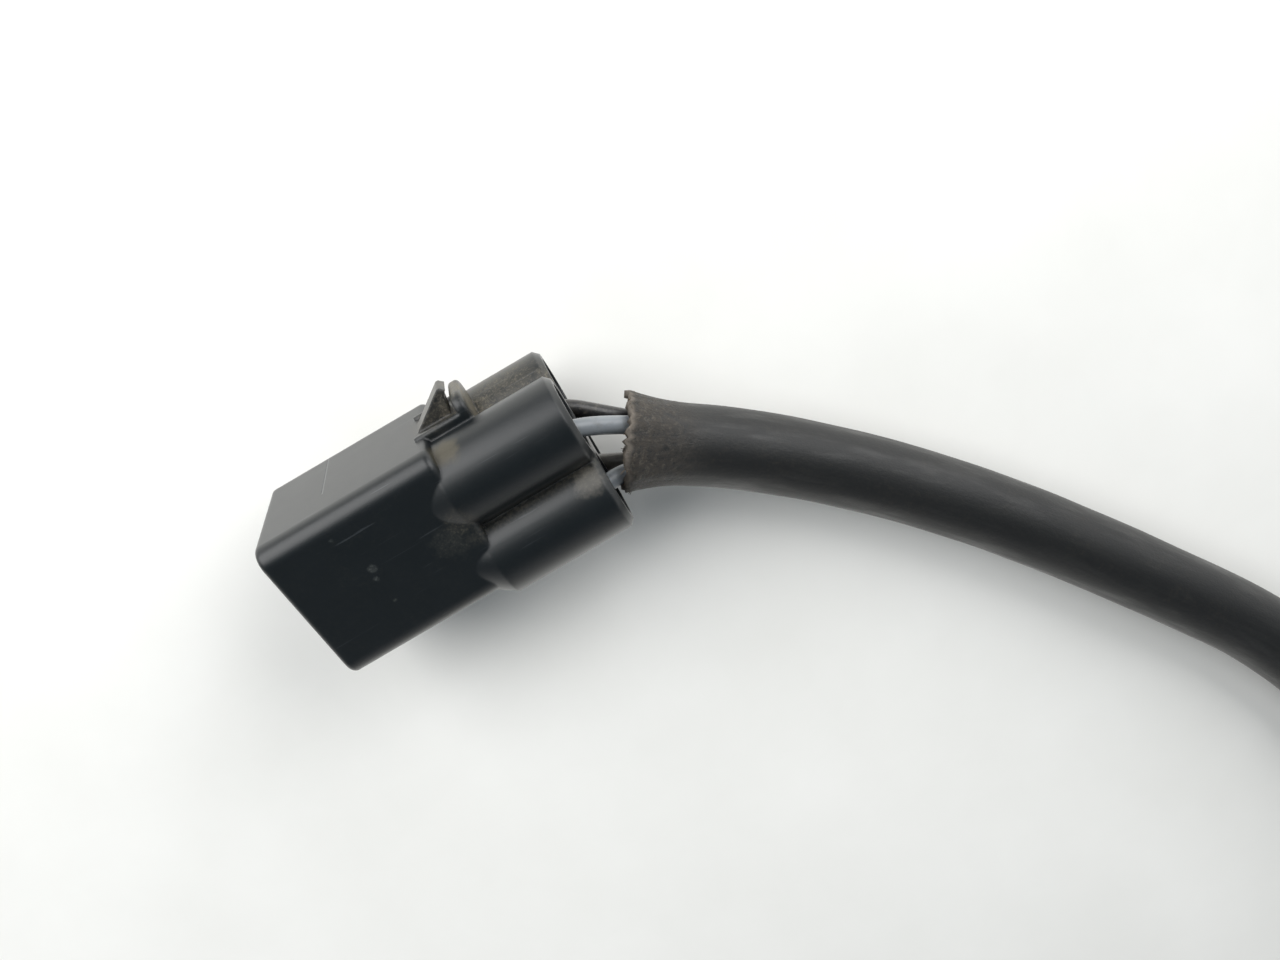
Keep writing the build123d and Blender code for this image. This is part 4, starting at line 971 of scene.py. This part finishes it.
class SENSOR_OT_wires(bpy.types.Operator):
    """Lay the four wires through the sleeving to their pins"""
    bl_idname = "sensor.wires"
    bl_label = "Wires"

    def execute(self, context):
        slots = slots_of_nodes()
        for colour in WIRES:
            curve = route_curve(f"wire_{colour}_lead", wire_route(colour))
            curve.data.bevel_depth = WIRE_RADIUS * MM
            curve.data.bevel_resolution = WIRE_ROUNDING
            curve.data.use_fill_caps = True
            dress_piece(curve, slots[f"wire_{colour}"], [f"wire_{colour}"])
        return {"FINISHED"}


THREAD_STEP = 0.11             # between two rings of points
THREAD_CREST = 0.14            # flat share of the pitch at the crest
THREAD_VALLEY = 0.08           # flat share of the pitch at the root
RUN_OUT = 1.2                  # over which the root rises to the thread's end
RUN_OUT_RISE = 0.85            # how much of the thread's depth it rises
THREAD_SHARP = radians(32)
# How far past the thread's ends, and below the undercut, a face still counts as part of it.
END_SLACK = 0.01
UNDERCUT_SLACK = 0.05


def thread_radius(x, turn):
    """The thread's radius at a place along the axis and a share of a turn."""
    phase = (x / THREAD_PITCH - turn) % 1.0
    rise = 1 - abs(2 * phase - 1)
    height = (rise - THREAD_VALLEY) / (1 - THREAD_CREST - THREAD_VALLEY)
    height = min(1.0, max(0.0, height))
    crest = THREAD_RADIUS - max(0.0, x - (THREAD_LENGTH - THREAD_CHAMFER))
    root = THREAD_ROOT
    if x < RUN_OUT:
        root += (THREAD_RADIUS - THREAD_ROOT) * (1 - x / RUN_OUT) * RUN_OUT_RISE
    return min(crest, root + (THREAD_RADIUS - root) * height)


class SENSOR_OT_shell(bpy.types.Operator):
    """Cut the helical thread into the steel shell"""
    bl_idname = "sensor.shell"
    bl_label = "Threaded shell"

    def execute(self, context):
        around = context.scene.sensor_settings.thread_around
        source = frame["nodes"]["metal_shell"]
        mesh = source.data.copy()
        mesh.transform(source.matrix_world)
        net = bmesh.new()
        net.from_mesh(mesh)
        limit = (UNDERCUT_RADIUS - UNDERCUT_SLACK) * MM
        plain = [face for face in net.faces
                 if all(-END_SLACK * MM < vert.co.x < (THREAD_LENGTH + END_SLACK) * MM
                        and hypot(vert.co.y, vert.co.z) > limit for vert in face.verts)]
        bmesh.ops.delete(net, geom=plain, context="FACES")
        steps = round(THREAD_LENGTH / THREAD_STEP)
        rows = [self.row(net, 0.0, around, lambda turn: UNDERCUT_RADIUS)]
        for step in range(steps + 1):
            x = THREAD_LENGTH * step / steps
            rows.append(self.row(net, x, around, lambda turn: thread_radius(x, turn)))
        for before, after in zip(rows, rows[1:]):
            for column in range(around):
                beyond = (column + 1) % around
                net.faces.new((before[column], before[beyond], after[beyond], after[column]))
        bmesh.ops.recalc_face_normals(net, faces=net.faces)
        net.to_mesh(mesh)
        net.free()
        mesh.shade_smooth()
        mesh.set_sharp_from_angle(angle=THREAD_SHARP)
        new_piece("threaded_shell", mesh, "shell_steel", ["metal_shell"])
        return {"FINISHED"}

    def row(self, net, x, around, radius_at):
        """One ring of the thread's points, its radius given by the share of a turn."""
        verts = []
        for turn in (column / around for column in range(around)):
            radius = radius_at(turn)
            verts.append(net.verts.new((x * MM, radius * cos(2 * pi * turn) * MM,
                                        radius * sin(2 * pi * turn) * MM)))
        return verts


FLOOR_SIZE = 3.0               # in metres
FLOOR_GAP = 0.00006            # keeps the floor clear of what lies on it, in metres
# How much of its own colour the floor adds where the camera sees it, and where a
# glossy surface does.
FLOOR_LIFT_SEEN = 0.06
FLOOR_LIFT_MIRRORED = 0.75
WINDOW_SIZE = 0.32             # in metres
# Each window's name, its place in metres and its power in watts.
WINDOWS = (("left_window", (0.10, -0.36, 0.24), 1.5),
           ("right_window", (-0.34, -0.30, 0.24), 1.4))
# The room is brightest level with the table and darker overhead.
ROOM_LEVEL = linear(226, 228, 230)
ROOM_OVERHEAD = linear(98, 108, 116)
ROOM_FADE = (0.1, 0.65)
NEAREST_SEEN = 0.005           # from the camera, in metres


class SENSOR_OT_stage(bpy.types.Operator):
    """Lay the plain floor and set up the camera, the two windows and the room"""
    bl_idname = "sensor.stage"
    bl_label = "Stage"

    def execute(self, context):
        scene = context.scene
        scene.view_settings.view_transform = "Standard"
        self.camera(scene)
        self.table(context)
        self.light(scene)
        return {"FINISHED"}

    def camera(self, scene):
        """The camera, set from the plug, which it looks at most closely."""
        data = bpy.data.cameras.new("camera")
        data.sensor_fit = "HORIZONTAL"
        data.sensor_width = LENS_WIDTH
        data.lens = LENS_LENGTH
        data.clip_start = NEAREST_SEEN
        camera = bpy.data.objects.new("camera", data)
        scene.collection.objects.link(camera)
        back = -plug_direction(*AIM_IN_PLUG).normalized()
        right = plug_direction(*TOP_IN_PLUG).cross(back).normalized()
        turn = Matrix((right, back.cross(right), back)).transposed()
        camera.matrix_world = (Matrix.Translation(plug_point(*CAMERA_IN_PLUG) * MM)
                               @ turn.to_4x4())
        scene.camera = camera

    def table(self, context):
        """The plain pale floor that everything lies on."""
        settings = context.scene.sensor_settings
        bpy.ops.mesh.primitive_plane_add(size=FLOOR_SIZE,
                                         location=(0, 0, FLOOR_Z * MM - FLOOR_GAP))
        floor = context.object
        floor.name = "table_top"
        material = bpy.data.materials.new("table_top")
        material.use_nodes = True
        graph = Graph(material.node_tree)
        shader = material.node_tree.nodes["Principled BSDF"]
        place = graph.use("Millimetres")["Place"]
        colour = graph.mix(graph.noise(place, 0.05, 4.0), settings.floor_light,
                           settings.floor_dark)
        seen = graph.add("ShaderNodeLightPath").outputs
        lift = graph.math("MAXIMUM",
                          graph.math("MULTIPLY", seen["Is Camera Ray"], FLOOR_LIFT_SEEN),
                          graph.math("MULTIPLY", seen["Is Glossy Ray"], FLOOR_LIFT_MIRRORED))
        graph.fill(shader, {"Base Color": colour, "Roughness": 0.5, "Emission Color": colour,
                            "Emission Strength": lift})
        floor.data.materials.append(material)

    def light(self, scene):
        """Two soft windows, and a pale room all round."""
        for name, place, power in WINDOWS:
            data = bpy.data.lights.new(name, "AREA")
            data.size = WINDOW_SIZE
            data.energy = power
            window = bpy.data.objects.new(name, data)
            window.location = place
            aim = PLUG_MOUTH * MM - window.location
            window.rotation_euler = aim.to_track_quat("-Z", "Y").to_euler()
            scene.collection.objects.link(window)
        world = bpy.data.worlds.new("room")
        world.use_nodes = True
        graph = Graph(world.node_tree)
        background = world.node_tree.nodes["Background"]
        direction = graph.add("ShaderNodeSeparateXYZ",
                              {0: graph.add("ShaderNodeTexCoord").outputs["Generated"]}).outputs
        level = graph.ease(direction["Z"], *ROOM_FADE, 1.0, 0.0)
        graph.fill(background, {"Color": graph.mix(level, ROOM_OVERHEAD, ROOM_LEVEL),
                                "Strength": scene.sensor_settings.room_light})
        scene.world = world


class SENSOR_PT_panel(bpy.types.Panel):
    """The dressing's settings and steps"""
    bl_idname = "SENSOR_PT_panel"
    bl_label = "Oxygen Sensor"
    bl_space_type = "VIEW_3D"
    bl_region_type = "UI"
    bl_category = "Sensor"

    def draw(self, context):
        settings = context.scene.sensor_settings
        for name in settings.bl_rna.properties.keys():
            if name not in ("rna_type", "name"):
                self.layout.prop(settings, name)
        for step in STEPS:
            self.layout.operator(step.bl_idname)


STEPS = (SENSOR_OT_materials, SENSOR_OT_plug, SENSOR_OT_wires, SENSOR_OT_sleeving,
         SENSOR_OT_shell, SENSOR_OT_stage)
CLASSES = (SensorSettings, *STEPS, SENSOR_PT_panel)


def register():
    """Make the settings, the steps and the panel known."""
    for cls in CLASSES:
        bpy.utils.register_class(cls)
    bpy.types.Scene.sensor_settings = bpy.props.PointerProperty(type=SensorSettings)


def unregister():
    """Take them away again."""
    del bpy.types.Scene.sensor_settings
    for cls in reversed(CLASSES):
        bpy.utils.unregister_class(cls)


def main():
    """Run every step in order."""
    register()
    bpy.ops.sensor.materials()
    bpy.ops.sensor.plug()
    bpy.ops.sensor.wires()
    bpy.ops.sensor.sleeving()
    bpy.ops.sensor.shell()
    bpy.ops.sensor.stage()


if __name__ == "__main__":
    main()
